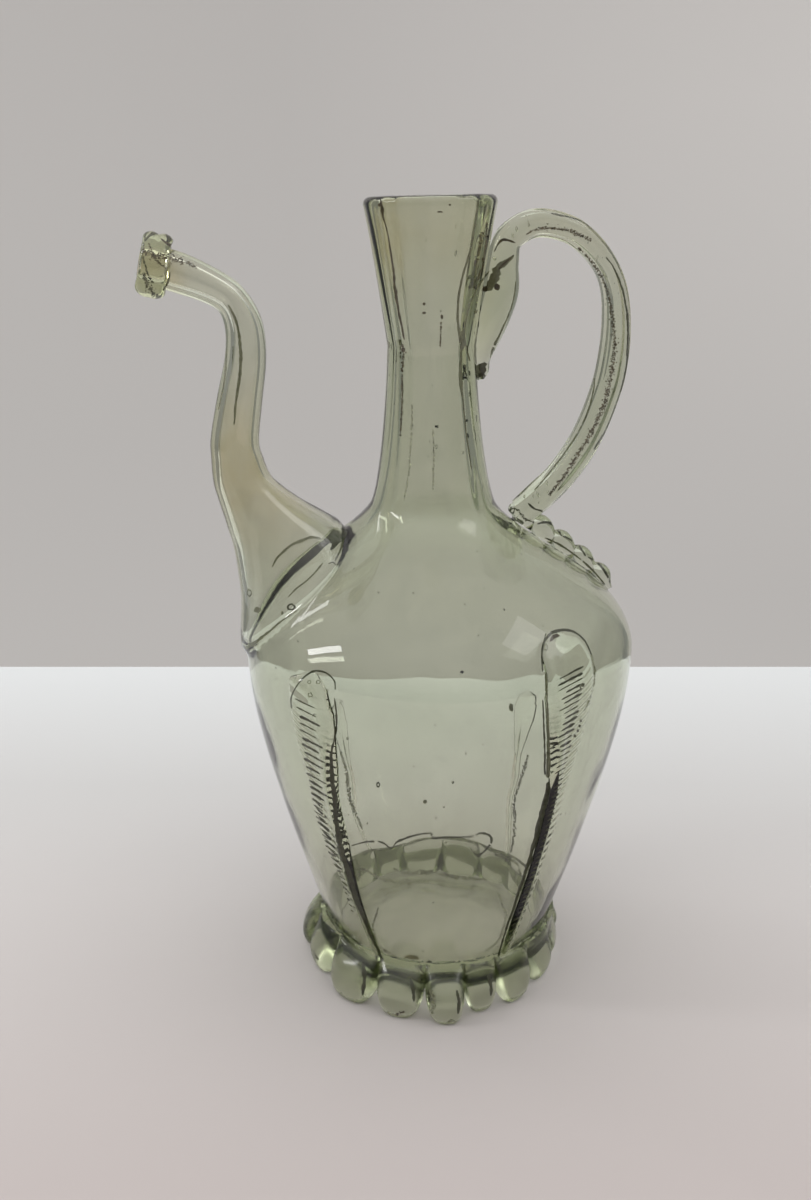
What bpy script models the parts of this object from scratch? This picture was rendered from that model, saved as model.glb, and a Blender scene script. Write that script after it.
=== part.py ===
"""A hand-blown glass ewer: hollow body and neck, S-shaped spout, reeded handle, pinched foot and milled leaves.

Metres, +Z up. The spout points to -X and the handle to +X. The origin is under the middle of the
ewer's bounding box, at the height of the surface that it stands on.
"""

import math

import bmesh
import bpy
from mathutils import Vector

# Heights and radii of the blown wall, measured from the vessel's own axis
RIM_HEIGHT = 0.2200
RIM_RADIUS = 0.0172
WAIST_HEIGHT = 0.1820
WAIST_RADIUS = 0.0117
NECK_FOOT_HEIGHT = 0.1400
NECK_FOOT_RADIUS = 0.0169
SHOULDER_HEIGHT = 0.1000
SHOULDER_RADIUS = 0.0544
BASE_HEIGHT = 0.0040
BASE_RADIUS = 0.0310
BASE_FILLET = 0.0014
KICK_HEIGHT = 0.0055

# Thickness of the glass
BODY_WALL = 0.0020
NECK_WALL = 0.0037
BASE_WALL = 0.0028
SPOUT_WALL = 0.0021

# The neck stands a little off the body's axis and leans towards the spout
NECK_OFFSET = 0.0020
NECK_LEAN = 0.0156

# Spout: its trumpet foot is let into the shoulder, and its mouth is placed from that foot
SPOUT_FOOT_HEIGHT = 0.1162
SPOUT_FOOT_SINK = 0.0047
SPOUT_FOOT_DEPTH = 0.0221
SPOUT_FOOT_WIDTH = 0.0210
SPOUT_REACH = 0.0359
SPOUT_RISE = 0.0874
SPOUT_TUBE_RADIUS = 0.0050
SPOUT_HOLE_RADIUS = 0.0112
LIP_RING_THICKNESS = 0.0034
LIP_RING_LENGTH = 0.0074

# Handle: a reeded strap that lands on the shoulder, with a drop down the neck and a crimped tail
HANDLE_TOP_DROP = 0.0110
HANDLE_TOP_STANDOFF = 0.0050
HANDLE_REACH = 0.0280
HANDLE_FOOT_RADIUS = 0.0230
HANDLE_FOOT_RISE = 0.0027
STRAP_RADIUS = 0.0042
REED_DEPTH = 0.0005
REED_COUNT = 6
DROP_LENGTH = 0.0360
DROP_WIDTH = 0.0052
TAIL_END_RADIUS = 0.0498
TAIL_THICKNESS = 0.0068
TAIL_WIDTH = 0.0072
TAIL_BEADS = 5

# Foot: a thread round the base, pinched into lobes that carry the ewer
FOOT_TOP_HEIGHT = 0.0145
FOOT_BOTTOM_HEIGHT = 0.0064
FOOT_THREAD_DEPTH = 0.0042
FOOT_CREST = 0.0004
FOOT_NOTCH_RISE = 0.0070
LOBE_REACH = 0.0390
LOBE_THICKNESS = 0.0062
FOOT_OFFSET = 0.0014

# Leaves: milled drops laid down the wall to the foot; a leaf narrower than the full width is thinner too
LEAF_FULL_WIDTH = 0.0150
LEAF_THICKNESS = 0.0011
SPINE_THICKNESS = 0.0026
RIB_RELIEF = 0.0006
RIB_COUNT = 20

# Air between two pieces that touch in the real ewer
CLEARANCE = 0.0003

# How finely the faceted solids are drawn
BODY_SIDES = 32
ENVELOPE_SIDES = 64
TUBE_SIDES = 12
SPOUT_RINGS = 21
HANDLE_RINGS = 31
OUTSIDE_STEPS = (6, 9, 5, 6)
INSIDE_STEPS = (4, 7, 3, 3)
TAIL_RINGS_PER_BEAD = 4

# Spout sections from the mouth down: shares of the reach and of the rise, heading of the tube in
# degrees (0 is +X, -90 straight down), and how far the tube has swollen from its mouth towards its foot
SPOUT_SECTIONS = (
    (1.000, 1.000, -12, 0.000),
    (0.754, 0.973, -20, 0.004),
    (0.486, 0.926, -32, -0.030),
    (0.362, 0.884, -54, -0.036),
    (0.294, 0.814, -80, -0.003),
    (0.294, 0.720, -95, 0.022),
    (0.347, 0.602, -101, 0.053),
    (0.395, 0.482, -95, 0.081),
    (0.384, 0.420, -88, 0.112),
    (0.356, 0.360, -84, 0.157),
    (0.297, 0.312, -78, 0.218),
    (0.201, 0.253, -74, 0.335),
    (0.099, 0.188, -66, 0.480),
    (0.009, 0.092, -54, 0.732),
    (0.000, 0.000, -44, 1.000),
    (-0.070, -0.014, -43, 0.960),
    (-0.164, -0.041, -41, 0.900),
)

# Strap from the neck over and down to the shoulder: share of the height between its two ends, share of
# the reach, and thickness as a share of the strap's own
STRAP_PATH = (
    (1.000, 0.000, 0.90),
    (1.051, 0.254, 0.88),
    (1.030, 0.568, 0.84),
    (0.970, 0.782, 0.81),
    (0.888, 0.932, 0.80),
    (0.792, 1.000, 0.88),
    (0.658, 1.000, 0.97),
    (0.525, 0.943, 1.02),
    (0.438, 0.871, 1.02),
    (0.332, 0.754, 1.02),
    (0.233, 0.607, 1.02),
    (0.132, 0.400, 1.01),
    (0.059, 0.189, 1.03),
    (0.000, 0.000, 0.95),
)

# Drop down the neck from the strap's upper end: share of its length, stand-off from the neck,
# and half depth and half width as shares of the drop's greatest half width
DROP_PATH = (
    (0.17, 0.0043, 0.83, 0.87),
    (0.36, 0.0047, 0.96, 1.00),
    (0.55, 0.0038, 0.88, 0.98),
    (0.73, 0.0025, 0.69, 0.78),
    (0.86, 0.0015, 0.46, 0.54),
    (0.94, 0.0012, 0.42, 0.48),
    (1.00, 0.0010, 0.20, 0.24),
)

# Pinched lobes on the side where their places show: azimuth in degrees and extra reach
SEEN_LOBES = (
    (-165.0, -0.0002),
    (-137.0, 0.0022),
    (-114.0, 0.0026),
    (-93.5, 0.0046),
    (-79.0, 0.0010),
    (-62.6, 0.0016),
    (-40.0, 0.0002),
    (-18.0, -0.0006),
)
HIDDEN_LOBES = 9
HIDDEN_LOBE_VARIATION = 0.0008
LOBE_COLUMNS = (-1.0, -0.70, -0.30, 0.30, 0.70)

# Half width of a leaf down its length, as shares: one keeps a broad blade, the other narrows below its head
BROAD_LEAF = ((0.00, 0.25), (0.03, 0.75), (0.07, 1.00), (0.12, 1.00), (0.24, 0.90), (0.35, 0.68),
              (0.51, 0.64), (0.65, 0.43), (0.79, 0.26), (0.95, 0.16), (1.00, 0.12))
SLIM_LEAF = ((0.00, 0.22), (0.03, 0.74), (0.10, 1.00), (0.18, 0.87), (0.28, 0.63), (0.40, 0.35),
             (0.53, 0.29), (0.69, 0.23), (0.83, 0.24), (1.00, 0.16))

# Leaves: name, azimuth of the top and of the lower end in degrees, height of the top, greatest width,
# outline, and the side of the leaf that carries its spine (1 is anticlockwise seen from above)
LEAVES = (
    ("leaf_front_left", -135.4, -127.0, 0.1058, 0.0150, BROAD_LEAF, 1),
    ("leaf_front_right", -60.8, -64.0, 0.1150, 0.0176, SLIM_LEAF, -1),
    ("leaf_back_right", 43.0, 37.0, 0.0680, 0.0084, SLIM_LEAF, 1),
    ("leaf_back_left", 126.0, 122.5, 0.0640, 0.0084, SLIM_LEAF, -1),
)


def ease(share):
    """Smooth step from 0 to 1."""
    share = min(max(share, 0.0), 1.0)
    return share * share * (3.0 - 2.0 * share)


def bezier(start, start_handle, end_handle, end, steps):
    """Points along a cubic Bezier curve, without its first point."""
    points = []
    for step in range(1, steps + 1):
        t = step / steps
        weights = ((1 - t) ** 3, 3 * t * (1 - t) ** 2, 3 * t * t * (1 - t), t ** 3)
        corners = (start, start_handle, end_handle, end)
        points.append(tuple(sum(w * c[axis] for w, c in zip(weights, corners)) for axis in (0, 1)))
    return points


def smooth_samples(knots, count):
    """A smooth curve through tuples of numbers, sampled at even steps of the knots' own spacing."""
    samples = []
    last = len(knots) - 1
    for index in range(count):
        place = index / (count - 1) * last
        here = min(int(place), last - 1)
        t = place - here
        a, b, c, d = (knots[min(max(here + shift, 0), last)] for shift in (-1, 0, 1, 2))
        samples.append(tuple(
            0.5 * (2 * q + (r - p) * t + (2 * p - 5 * q + 4 * r - s) * t * t
                   + (3 * q - p - 3 * r + s) * t ** 3)
            for p, q, r, s in zip(a, b, c, d)))
    return samples


def lookup(table, value):
    """Straight interpolation in rising (key, number) pairs."""
    for (key_a, number_a), (key_b, number_b) in zip(table, table[1:]):
        if value <= key_b:
            share = max(value - key_a, 0.0) / (key_b - key_a)
            return number_a + share * (number_b - number_a)
    return table[-1][1]


def outer_profile(steps=OUTSIDE_STEPS):
    """Radius and height of the outside of the wall, from the base edge up to the rim."""
    base = (BASE_RADIUS, BASE_HEIGHT + BASE_FILLET)
    shoulder = (SHOULDER_RADIUS, SHOULDER_HEIGHT)
    neck = (NECK_FOOT_RADIUS, NECK_FOOT_HEIGHT)
    waist = (WAIST_RADIUS, WAIST_HEIGHT)
    rim = (RIM_RADIUS, RIM_HEIGHT - NECK_WALL / 2)

    def between(a, b, radius_share, height_share):
        return (a[0] + radius_share * (b[0] - a[0]), a[1] + height_share * (b[1] - a[1]))

    points = [base]
    points += bezier(base, between(base, shoulder, 0.40, 0.30), between(base, shoulder, 1.0, 0.75), shoulder,
                     steps[0])
    points += bezier(shoulder, between(shoulder, neck, 0.0, 0.45), between(shoulder, neck, 0.85, 0.725), neck,
                     steps[1])
    points += bezier(neck, between(neck, waist, 0.52, 0.167), between(neck, waist, 0.90, 0.67), waist, steps[2])
    points += bezier(waist, between(waist, rim, 0.35, 0.42), between(waist, rim, 0.60, 0.69), rim, steps[3])
    return points


def body_radius(height):
    """Outer radius of the vessel at a height."""
    return lookup([(z, r) for r, z in outer_profile()], height)


def surface_height(radius):
    """Height of the upper shoulder where the vessel has this radius."""
    upper = [(r, z) for r, z in outer_profile() if z >= SHOULDER_HEIGHT and z <= WAIST_HEIGHT]
    return lookup(upper[::-1], radius)


def neck_shift(height):
    """How far the neck has moved towards the spout at a height."""
    settled = ease((height - SHOULDER_HEIGHT) / (NECK_FOOT_HEIGHT - SHOULDER_HEIGHT))
    return -NECK_OFFSET * settled - NECK_LEAN * max(height - NECK_FOOT_HEIGHT, 0.0)


def wall_at(height):
    """Thickness of the blown wall: thin in the body, thick in the neck."""
    share = ease((height - SHOULDER_HEIGHT) / (NECK_FOOT_HEIGHT - SHOULDER_HEIGHT))
    return BODY_WALL + share * (NECK_WALL - BODY_WALL)


def slope_normal(profile, index):
    """Unit normal of the profile, away from the axis, at one of its points."""
    before = profile[max(index - 1, 0)]
    after = profile[min(index + 1, len(profile) - 1)]
    run, rise = after[0] - before[0], after[1] - before[1]
    length = math.hypot(run, rise)
    return rise / length, -run / length


def offset_profile(profile, distance):
    """The profile moved along its normals by distance(height)."""
    moved = []
    for index, (radius, height) in enumerate(profile):
        out, up = slope_normal(profile, index)
        step = distance(height)
        moved.append((radius + out * step, height + up * step))
    return moved


def remove_everything():
    for item in list(bpy.data.objects):
        bpy.data.objects.remove(item, do_unlink=True)


def new_collection(name):
    collection = bpy.data.collections.new(name)
    bpy.context.scene.collection.children.link(collection)
    return collection


def glass_material(name, colour):
    material = bpy.data.materials.new(name)
    material.use_nodes = True
    shader = material.node_tree.nodes["Principled BSDF"]
    shader.inputs["Base Color"].default_value = (*colour, 1.0)
    shader.inputs["Roughness"].default_value = 0.05
    shader.inputs["Metallic"].default_value = 0.0
    shader.inputs["Transmission Weight"].default_value = 1.0
    return material


def mesh_object(name, bm, collection):
    """A smooth-shaded object from a finished bmesh, with its faces turned outwards."""
    bmesh.ops.recalc_face_normals(bm, faces=bm.faces)
    mesh = bpy.data.meshes.new(name)
    bm.to_mesh(mesh)
    bm.free()
    mesh.shade_smooth()
    mesh.set_sharp_from_angle(angle=math.radians(40))
    item = bpy.data.objects.new(name, mesh)
    collection.objects.link(item)
    return item


def turned(name, profile, sides, collection):
    """A profile from the axis out and back to it, turned by a Screw modifier and leaned with the neck."""
    line = bpy.data.meshes.new(name + "_profile")
    vertices = [(radius, 0.0, height) for radius, height in profile]
    line.from_pydata(vertices, [(i, i + 1) for i in range(len(vertices) - 1)], [])
    guide = bpy.data.objects.new(name + "_profile", line)
    collection.objects.link(guide)
    screw = guide.modifiers.new("turn", "SCREW")
    screw.steps = sides
    screw.render_steps = sides
    screw.use_merge_vertices = True
    screw.merge_threshold = 0.00001
    bpy.context.view_layer.update()
    graph = bpy.context.evaluated_depsgraph_get()
    mesh = bpy.data.meshes.new_from_object(guide.evaluated_get(graph))
    bpy.data.objects.remove(guide, do_unlink=True)
    bm = bmesh.new()
    bm.from_mesh(mesh)
    bmesh.ops.remove_doubles(bm, verts=bm.verts, dist=0.000001)
    for vertex in bm.verts:
        vertex.co.x += neck_shift(vertex.co.z)
    return mesh_object(name, bm, collection)


def loft(name, rings, collection, closed=False):
    """A skin through rings of points, capped at both ends or closed round on itself."""
    bm = bmesh.new()
    rows = [[bm.verts.new(point) for point in ring] for ring in rings]
    pairs = list(zip(rows, rows[1:]))
    if closed:
        pairs.append((rows[-1], rows[0]))
    else:
        bm.faces.new(rows[0])
        bm.faces.new(rows[-1])
    for row, following in pairs:
        for index in range(len(row)):
            after = (index + 1) % len(row)
            bm.faces.new((row[index], row[after], following[after], following[index]))
    return mesh_object(name, bm, collection)


def boolean(item, operation, other):
    modifier = item.modifiers.new(operation.lower() + "_" + other.name, "BOOLEAN")
    modifier.operation = operation
    modifier.solver = "EXACT"
    modifier.object = other


def keep_as_cutter(item):
    item.hide_render = True
    item.display_type = "WIRE"


def tube_ring(centre, heading, half_depth, half_width, sides, reeds=0.0, turn=0.0):
    """A ring square to its heading in the XZ plane; reeds is the depth of grooves along the tube."""
    outward = Vector((-math.sin(heading), 0.0, math.cos(heading)))
    ring = []
    for index in range(sides):
        angle = 2 * math.pi * index / sides
        groove = reeds * 0.5 * (1 - math.cos(REED_COUNT * (angle - turn)))
        ring.append(centre + outward * ((half_depth - groove) * math.cos(angle))
                    + Vector((0.0, (half_width - groove) * math.sin(angle), 0.0)))
    return ring


def headings(points):
    """Direction of travel along a path in the XZ plane, in radians, at each point."""
    angles = []
    for index in range(len(points)):
        step = points[min(index + 1, len(points) - 1)] - points[max(index - 1, 0)]
        angles.append(math.atan2(step.z, step.x))
    return angles


def make_envelope(collection):
    """The outside of the vessel grown by the clearance: what every applied piece is cut by."""
    grown = offset_profile(outer_profile(), lambda height: CLEARANCE)
    bottom, top = grown[0], grown[-1]
    profile = [(0.0, top[1] + NECK_WALL), (top[0], top[1] + NECK_WALL)] + grown[::-1]
    profile.append((0.0, bottom[1]))
    envelope = turned("vessel_envelope", profile, ENVELOPE_SIDES, collection)
    keep_as_cutter(envelope)
    return envelope


def make_body(collection, hole):
    """The blown vessel: outside, rounded rim, inside and pushed-up base, turned as one wall."""
    outside = outer_profile()
    floor_edge = BASE_HEIGHT + BASE_WALL + BASE_FILLET
    drawn_in = offset_profile(outer_profile(INSIDE_STEPS), lambda height: -wall_at(height))
    inside = [point for point in drawn_in if point[1] > floor_edge]
    lip_centre = (RIM_RADIUS - NECK_WALL / 2, RIM_HEIGHT - NECK_WALL / 2)
    lip = []
    for degrees in (135, 90, 45):
        angle = math.radians(degrees)
        lip.append((lip_centre[0] + NECK_WALL / 2 * math.cos(angle),
                    lip_centre[1] + NECK_WALL / 2 * math.sin(angle)))
    kick_top = BASE_HEIGHT + KICK_HEIGHT
    edge = BASE_RADIUS - BASE_FILLET * 2
    underside = [(BASE_RADIUS - BASE_FILLET * 0.4, BASE_HEIGHT + BASE_FILLET * 0.35), (edge, BASE_HEIGHT)]
    underside += bezier((edge, BASE_HEIGHT), (edge * 0.80, BASE_HEIGHT),
                        (edge * 0.55, kick_top), (0.0, kick_top), 4)
    inner_edge = edge - BASE_WALL * 0.5
    floor = bezier((inner_edge, BASE_HEIGHT + BASE_WALL), (inner_edge * 0.80, BASE_HEIGHT + BASE_WALL),
                   (inner_edge * 0.55, kick_top + BASE_WALL), (0.0, kick_top + BASE_WALL), 3)
    profile = floor[::-1] + [(inner_edge, BASE_HEIGHT + BASE_WALL)] + inside + lip + outside[::-1] + underside
    body = turned("body", profile, BODY_SIDES, collection)
    boolean(body, "DIFFERENCE", hole)
    return body


def spout_foot():
    """Where the axis of the trumpet foot passes into the shoulder."""
    return Vector((SPOUT_FOOT_SINK - body_radius(SPOUT_FOOT_HEIGHT), 0.0, SPOUT_FOOT_HEIGHT))


def spout_rings(inset, count, lead):
    """Rings of the spout from past its mouth to inside the shoulder, drawn in by inset from the outside."""
    foot = spout_foot()
    knots = []
    for along, up, heading, swell in SPOUT_SECTIONS:
        depth = SPOUT_TUBE_RADIUS + swell * (SPOUT_FOOT_DEPTH - SPOUT_TUBE_RADIUS)
        width = SPOUT_TUBE_RADIUS + swell * (SPOUT_FOOT_WIDTH - SPOUT_TUBE_RADIUS)
        knots.append((foot.x - along * SPOUT_REACH, foot.z + up * SPOUT_RISE, heading, depth, width))
    rings = []
    for x, z, heading, depth, width in smooth_samples(knots, count):
        rings.append(tube_ring(Vector((x, 0.0, z)), math.radians(heading), depth - inset, width - inset,
                               TUBE_SIDES))
    if lead:
        way = math.radians(SPOUT_SECTIONS[0][2])
        back = Vector((math.cos(way), 0.0, math.sin(way))) * lead
        rings.insert(0, [point - back for point in rings[0]])
    return rings


def make_spout_hole(collection):
    """A round hole through the shoulder inside the trumpet foot."""
    way = math.radians(SPOUT_SECTIONS[-1][2])
    axis = Vector((math.cos(way), 0.0, math.sin(way)))
    centre = spout_foot()
    rings = []
    for step in (-SPOUT_FOOT_DEPTH, SPOUT_FOOT_DEPTH * 0.5):
        rings.append(tube_ring(centre + axis * step, way, SPOUT_HOLE_RADIUS, SPOUT_HOLE_RADIUS, TUBE_SIDES * 2))
    hole = loft("spout_hole", rings, collection)
    keep_as_cutter(hole)
    return hole


def make_spout(collection, cutters, envelope):
    """The S-shaped tube with its trumpet foot, bored through and cut to sit on the shoulder."""
    spout = loft("spout", spout_rings(0.0, SPOUT_RINGS, 0.0), collection)
    bore = loft("spout_bore", spout_rings(SPOUT_WALL, SPOUT_RINGS, SPOUT_WALL), cutters)
    keep_as_cutter(bore)
    boolean(spout, "DIFFERENCE", bore)
    boolean(spout, "DIFFERENCE", envelope)
    return spout


def make_lip_ring(collection):
    """The thick thread wound round the spout's mouth."""
    way = math.radians(SPOUT_SECTIONS[0][2])
    axis = Vector((math.cos(way), 0.0, math.sin(way)))
    across = Vector((-math.sin(way), 0.0, math.cos(way)))
    foot = spout_foot()
    mouth = Vector((foot.x - SPOUT_REACH, 0.0, foot.z + SPOUT_RISE))
    inner = SPOUT_TUBE_RADIUS / math.cos(math.pi / (TUBE_SIDES + 2)) + CLEARANCE
    middle = inner + LIP_RING_THICKNESS / 2
    rings = []
    for index in range(TUBE_SIDES + 2):
        around = 2 * math.pi * index / (TUBE_SIDES + 2)
        radial = across * math.cos(around) + Vector((0.0, math.sin(around), 0.0))
        ring = []
        for corner in range(8):
            angle = 2 * math.pi * (corner + 0.5) / 8
            ring.append(mouth + axis * (LIP_RING_LENGTH * 0.5 * (1 - 1.06 * math.cos(angle)))
                        + radial * (middle + LIP_RING_THICKNESS * 0.54 * math.sin(angle)))
        rings.append(ring)
    return loft("spout_lip_ring", rings, collection, closed=True)


def neck_side(height):
    """X of the neck's handle side at a height."""
    return body_radius(height) + neck_shift(height)


def handle_knots():
    """Drop down the neck and strap over to the shoulder: x, z, half depth, half width and reed depth."""
    top_height = RIM_HEIGHT - HANDLE_TOP_DROP
    top = Vector((neck_side(top_height) + HANDLE_TOP_STANDOFF, 0.0, top_height))
    landing = Vector((HANDLE_FOOT_RADIUS, 0.0, surface_height(HANDLE_FOOT_RADIUS) + HANDLE_FOOT_RISE))
    knots = []
    for share, standoff, depth, width in reversed(DROP_PATH):
        height = top_height - share * DROP_LENGTH
        knots.append((neck_side(height) + standoff, height, depth * DROP_WIDTH, width * DROP_WIDTH, 0.0))
    for rise, out, thickness in STRAP_PATH:
        x = landing.x + rise * (top.x - landing.x) + out * HANDLE_REACH
        z = landing.z + rise * (top.z - landing.z)
        reeds = REED_DEPTH * ease(out / 0.4)
        knots.append((x, z, thickness * STRAP_RADIUS, thickness * STRAP_RADIUS, reeds))
    return knots


def make_handle(collection, cutters, envelope):
    """Strap, drop and crimped tail as one piece, cut to sit on the neck and the shoulder."""
    samples = smooth_samples(handle_knots(), HANDLE_RINGS)
    centres = [Vector((x, 0.0, z)) for x, z, depth, width, reeds in samples]
    rings = []
    for centre, heading, sample in zip(centres, headings(centres), samples):
        rings.append(tube_ring(centre, heading, sample[2], sample[3], TUBE_SIDES, sample[4]))
    handle = loft("handle", rings, collection)
    tail = make_tail(cutters)
    boolean(handle, "UNION", tail)
    boolean(handle, "DIFFERENCE", envelope)
    return handle


def make_tail(collection):
    """The end of the strap drawn out down the shoulder and pinched into beads."""
    start = HANDLE_FOOT_RADIUS - TAIL_THICKNESS / 2
    count = TAIL_BEADS * TAIL_RINGS_PER_BEAD
    centres = []
    sizes = []
    for index in range(count + 1):
        share = index / count
        radius = start + share * (TAIL_END_RADIUS - start)
        pinch = 0.5 * (1 - math.cos(2 * math.pi * TAIL_BEADS * share))
        taper = 1.0 - 0.30 * share
        swell = (0.68 + 0.32 * pinch) * taper
        if share < 0.5 / TAIL_BEADS:
            swell *= 1.25
        if index in (0, count):
            swell *= 0.55
        centres.append(Vector((radius, 0.0, surface_height(radius) + TAIL_THICKNESS * 0.42 * swell)))
        sizes.append(swell)
    rings = []
    for centre, heading, swell in zip(centres, headings(centres), sizes):
        rings.append(tube_ring(centre, heading, TAIL_THICKNESS / 2 * swell, TAIL_WIDTH / 2 * swell,
                               TUBE_SIDES - 2))
    tail = loft("handle_tail", rings, collection)
    keep_as_cutter(tail)
    return tail


def all_lobes():
    """Azimuth and reach of every lobe, in order round the foot."""
    lobes = [(azimuth, LOBE_REACH + extra) for azimuth, extra in SEEN_LOBES]
    first = SEEN_LOBES[-1][0]
    span = SEEN_LOBES[0][0] + 360.0 - first
    for index in range(1, HIDDEN_LOBES + 1):
        azimuth = first + span * index / (HIDDEN_LOBES + 1)
        lobes.append((azimuth, LOBE_REACH + HIDDEN_LOBE_VARIATION * math.sin(2.3 * index)))
    return lobes


def foot_section(azimuth, reach, fullness):
    """Closed outline of the foot at one azimuth, from a bare notch (0) to a full lobe (1)."""
    top = body_radius(FOOT_TOP_HEIGHT) + CLEARANCE
    low = body_radius(FOOT_BOTTOM_HEIGHT) + CLEARANCE
    notch = low + FOOT_THREAD_DEPTH
    rise = FOOT_NOTCH_RISE
    thin = LOBE_THICKNESS
    pairs = (
        ((top, FOOT_TOP_HEIGHT), (top, FOOT_TOP_HEIGHT)),
        ((top + FOOT_THREAD_DEPTH * 0.5, FOOT_TOP_HEIGHT + FOOT_CREST),
         (top + FOOT_THREAD_DEPTH * 0.6, FOOT_TOP_HEIGHT)),
        ((notch, rise + 0.0040), (reach - thin * 0.30, FOOT_TOP_HEIGHT * 0.74)),
        ((notch, rise + 0.0022), (reach - thin * 0.02, FOOT_TOP_HEIGHT * 0.42)),
        ((notch - 0.0006, rise + 0.0008), (reach, FOOT_TOP_HEIGHT * 0.19)),
        ((notch - 0.0015, rise), (reach - thin * 0.18, 0.0)),
        ((low + 0.0016, rise - 0.0002), (reach - thin * 0.62, 0.0)),
        ((low + 0.0008, rise - 0.0003), (reach - thin, FOOT_TOP_HEIGHT * 0.22)),
        ((low, FOOT_BOTTOM_HEIGHT), (low, FOOT_BOTTOM_HEIGHT)),
    )
    ring = []
    for bare, full in pairs:
        radius = bare[0] + fullness * (full[0] - bare[0])
        height = bare[1] + fullness * (full[1] - bare[1])
        ring.append((radius * math.cos(azimuth), radius * math.sin(azimuth), height))
    return ring


def make_foot(collection):
    """The pinched thread: each lobe is a swelling between two notches half way to its neighbours."""
    lobes = all_lobes()
    count = len(lobes)
    rings = []
    for index, (azimuth, reach) in enumerate(lobes):
        before = lobes[index - 1][0] - (360.0 if index == 0 else 0.0)
        after = lobes[(index + 1) % count][0] + (360.0 if index == count - 1 else 0.0)
        for place in LOBE_COLUMNS:
            side = (azimuth - before) if place < 0 else (after - azimuth)
            angle = math.radians(azimuth + place * side / 2)
            fullness = (1 - abs(place) ** 4) ** 0.75 if abs(place) > 0.31 else 1.0
            rings.append(foot_section(angle, reach - FOOT_OFFSET * math.cos(angle), fullness))
    return loft("foot_ring", rings, collection, closed=True)


def wall_point(azimuth, height, proud):
    """A point standing proud of the wall, along its normal, at an azimuth and a height."""
    step = 0.002
    slope = (body_radius(height + step) - body_radius(height - step)) / (2 * step)
    length = math.hypot(1.0, slope)
    radius = body_radius(height) + proud / length
    return Vector((radius * math.cos(azimuth) + neck_shift(height), radius * math.sin(azimuth),
                   height - proud * slope / length))


def make_leaf(name, top_azimuth, low_azimuth, top_height, width, outline, spine_side, collection):
    """A milled drop: slanting ribs across a thin blade, with a thick spine down one edge."""
    end_thickness = 0.45
    stout = min(width / LEAF_FULL_WIDTH, 1.0)
    bottom_height = FOOT_TOP_HEIGHT + FOOT_CREST + CLEARANCE + SPINE_THICKNESS * end_thickness * 0.4
    rows = RIB_COUNT * 2 + 1
    rings = []
    for row in range(rows):
        share = row / (rows - 1)
        along = share ** 0.92
        half = width / 2 * lookup(outline, along)
        height = top_height + along * (bottom_height - top_height)
        azimuth = math.radians(top_azimuth + along ** 4 * (low_azimuth - top_azimuth))
        slant = min(half * 0.5, top_height * 0.03) * ease(along / 0.08) * ease((1 - along) / 0.08)
        rib = RIB_RELIEF if row % 2 else 0.0
        fade = stout * (end_thickness + (1 - end_thickness) * ease(along / 0.06) * ease((1 - along) / 0.05))
        spine = SPINE_THICKNESS * (0.55 + 0.45 * ease(along / 0.25)) * fade
        blade = (LEAF_THICKNESS + rib) * fade
        columns = ((-1.0, 0.0), (-0.80, blade * 0.8), (0.05, blade), (0.52, spine), (1.0, 0.0), (0.0, 0.0))
        ring = []
        for place, proud in columns:
            level = height - slant * place
            turn = spine_side * place * half / body_radius(level)
            ring.append(wall_point(azimuth + turn, level, CLEARANCE + proud))
        rings.append(ring)
    return loft(name, rings, collection)


def stand_on_origin(items, parent):
    """Move the parent so that the ewer's bounding box is centred over the origin and stands on it."""
    bpy.context.view_layer.update()
    graph = bpy.context.evaluated_depsgraph_get()
    low = Vector((math.inf,) * 3)
    high = Vector((-math.inf,) * 3)
    for item in items:
        shape = item.evaluated_get(graph)
        for corner in shape.data.vertices:
            place = shape.matrix_world @ corner.co
            low = Vector(map(min, low, place))
            high = Vector(map(max, high, place))
    middle = (low + high) / 2
    parent.location = (-middle.x, -middle.y, -low.z)


def build_ewer():
    remove_everything()
    collection = new_collection("ewer")
    cutters = new_collection("ewer_cutters")
    envelope = make_envelope(cutters)
    hole = make_spout_hole(cutters)
    items = [
        make_body(collection, hole),
        make_spout(collection, cutters, envelope),
        make_lip_ring(collection),
        make_handle(collection, cutters, envelope),
        make_foot(collection),
    ]
    for leaf in LEAVES:
        items.append(make_leaf(*leaf, collection))
    for item in items:
        item.data.materials.clear()
        item.data.materials.append(glass_material(item.name + "_glass", (0.78, 0.82, 0.74)))
    parent = bpy.data.objects.new("ewer_frame", None)
    collection.objects.link(parent)
    for item in list(collection.objects) + list(cutters.objects):
        if item is not parent:
            item.parent = parent
    stand_on_origin(items, parent)


build_ewer()
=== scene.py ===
"""Looks of a hand-blown glass ewer: fused clear glass with seeds and stains, a stage, lights and a camera.

Metres, +Z up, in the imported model's own frame. The spout points to -X and the handle to +X.
"""

import math
import random

import bmesh
import bpy
from mathutils import Matrix, Vector, noise
from mathutils.bvhtree import BVHTree


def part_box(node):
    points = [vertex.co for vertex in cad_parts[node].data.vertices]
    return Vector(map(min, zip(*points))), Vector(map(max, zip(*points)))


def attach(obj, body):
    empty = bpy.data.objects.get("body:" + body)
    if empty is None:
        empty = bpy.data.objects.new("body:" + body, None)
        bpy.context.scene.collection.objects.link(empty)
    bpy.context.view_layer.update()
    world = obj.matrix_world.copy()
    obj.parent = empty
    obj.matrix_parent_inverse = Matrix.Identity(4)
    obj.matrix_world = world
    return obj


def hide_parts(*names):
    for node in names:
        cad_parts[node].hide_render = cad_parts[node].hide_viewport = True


# Shape of the blown vessel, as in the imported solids
RIM_HEIGHT = 0.2200
RIM_RADIUS = 0.0172
WAIST_HEIGHT = 0.1820
WAIST_RADIUS = 0.0117
NECK_FOOT_HEIGHT = 0.1400
NECK_FOOT_RADIUS = 0.0169
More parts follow.
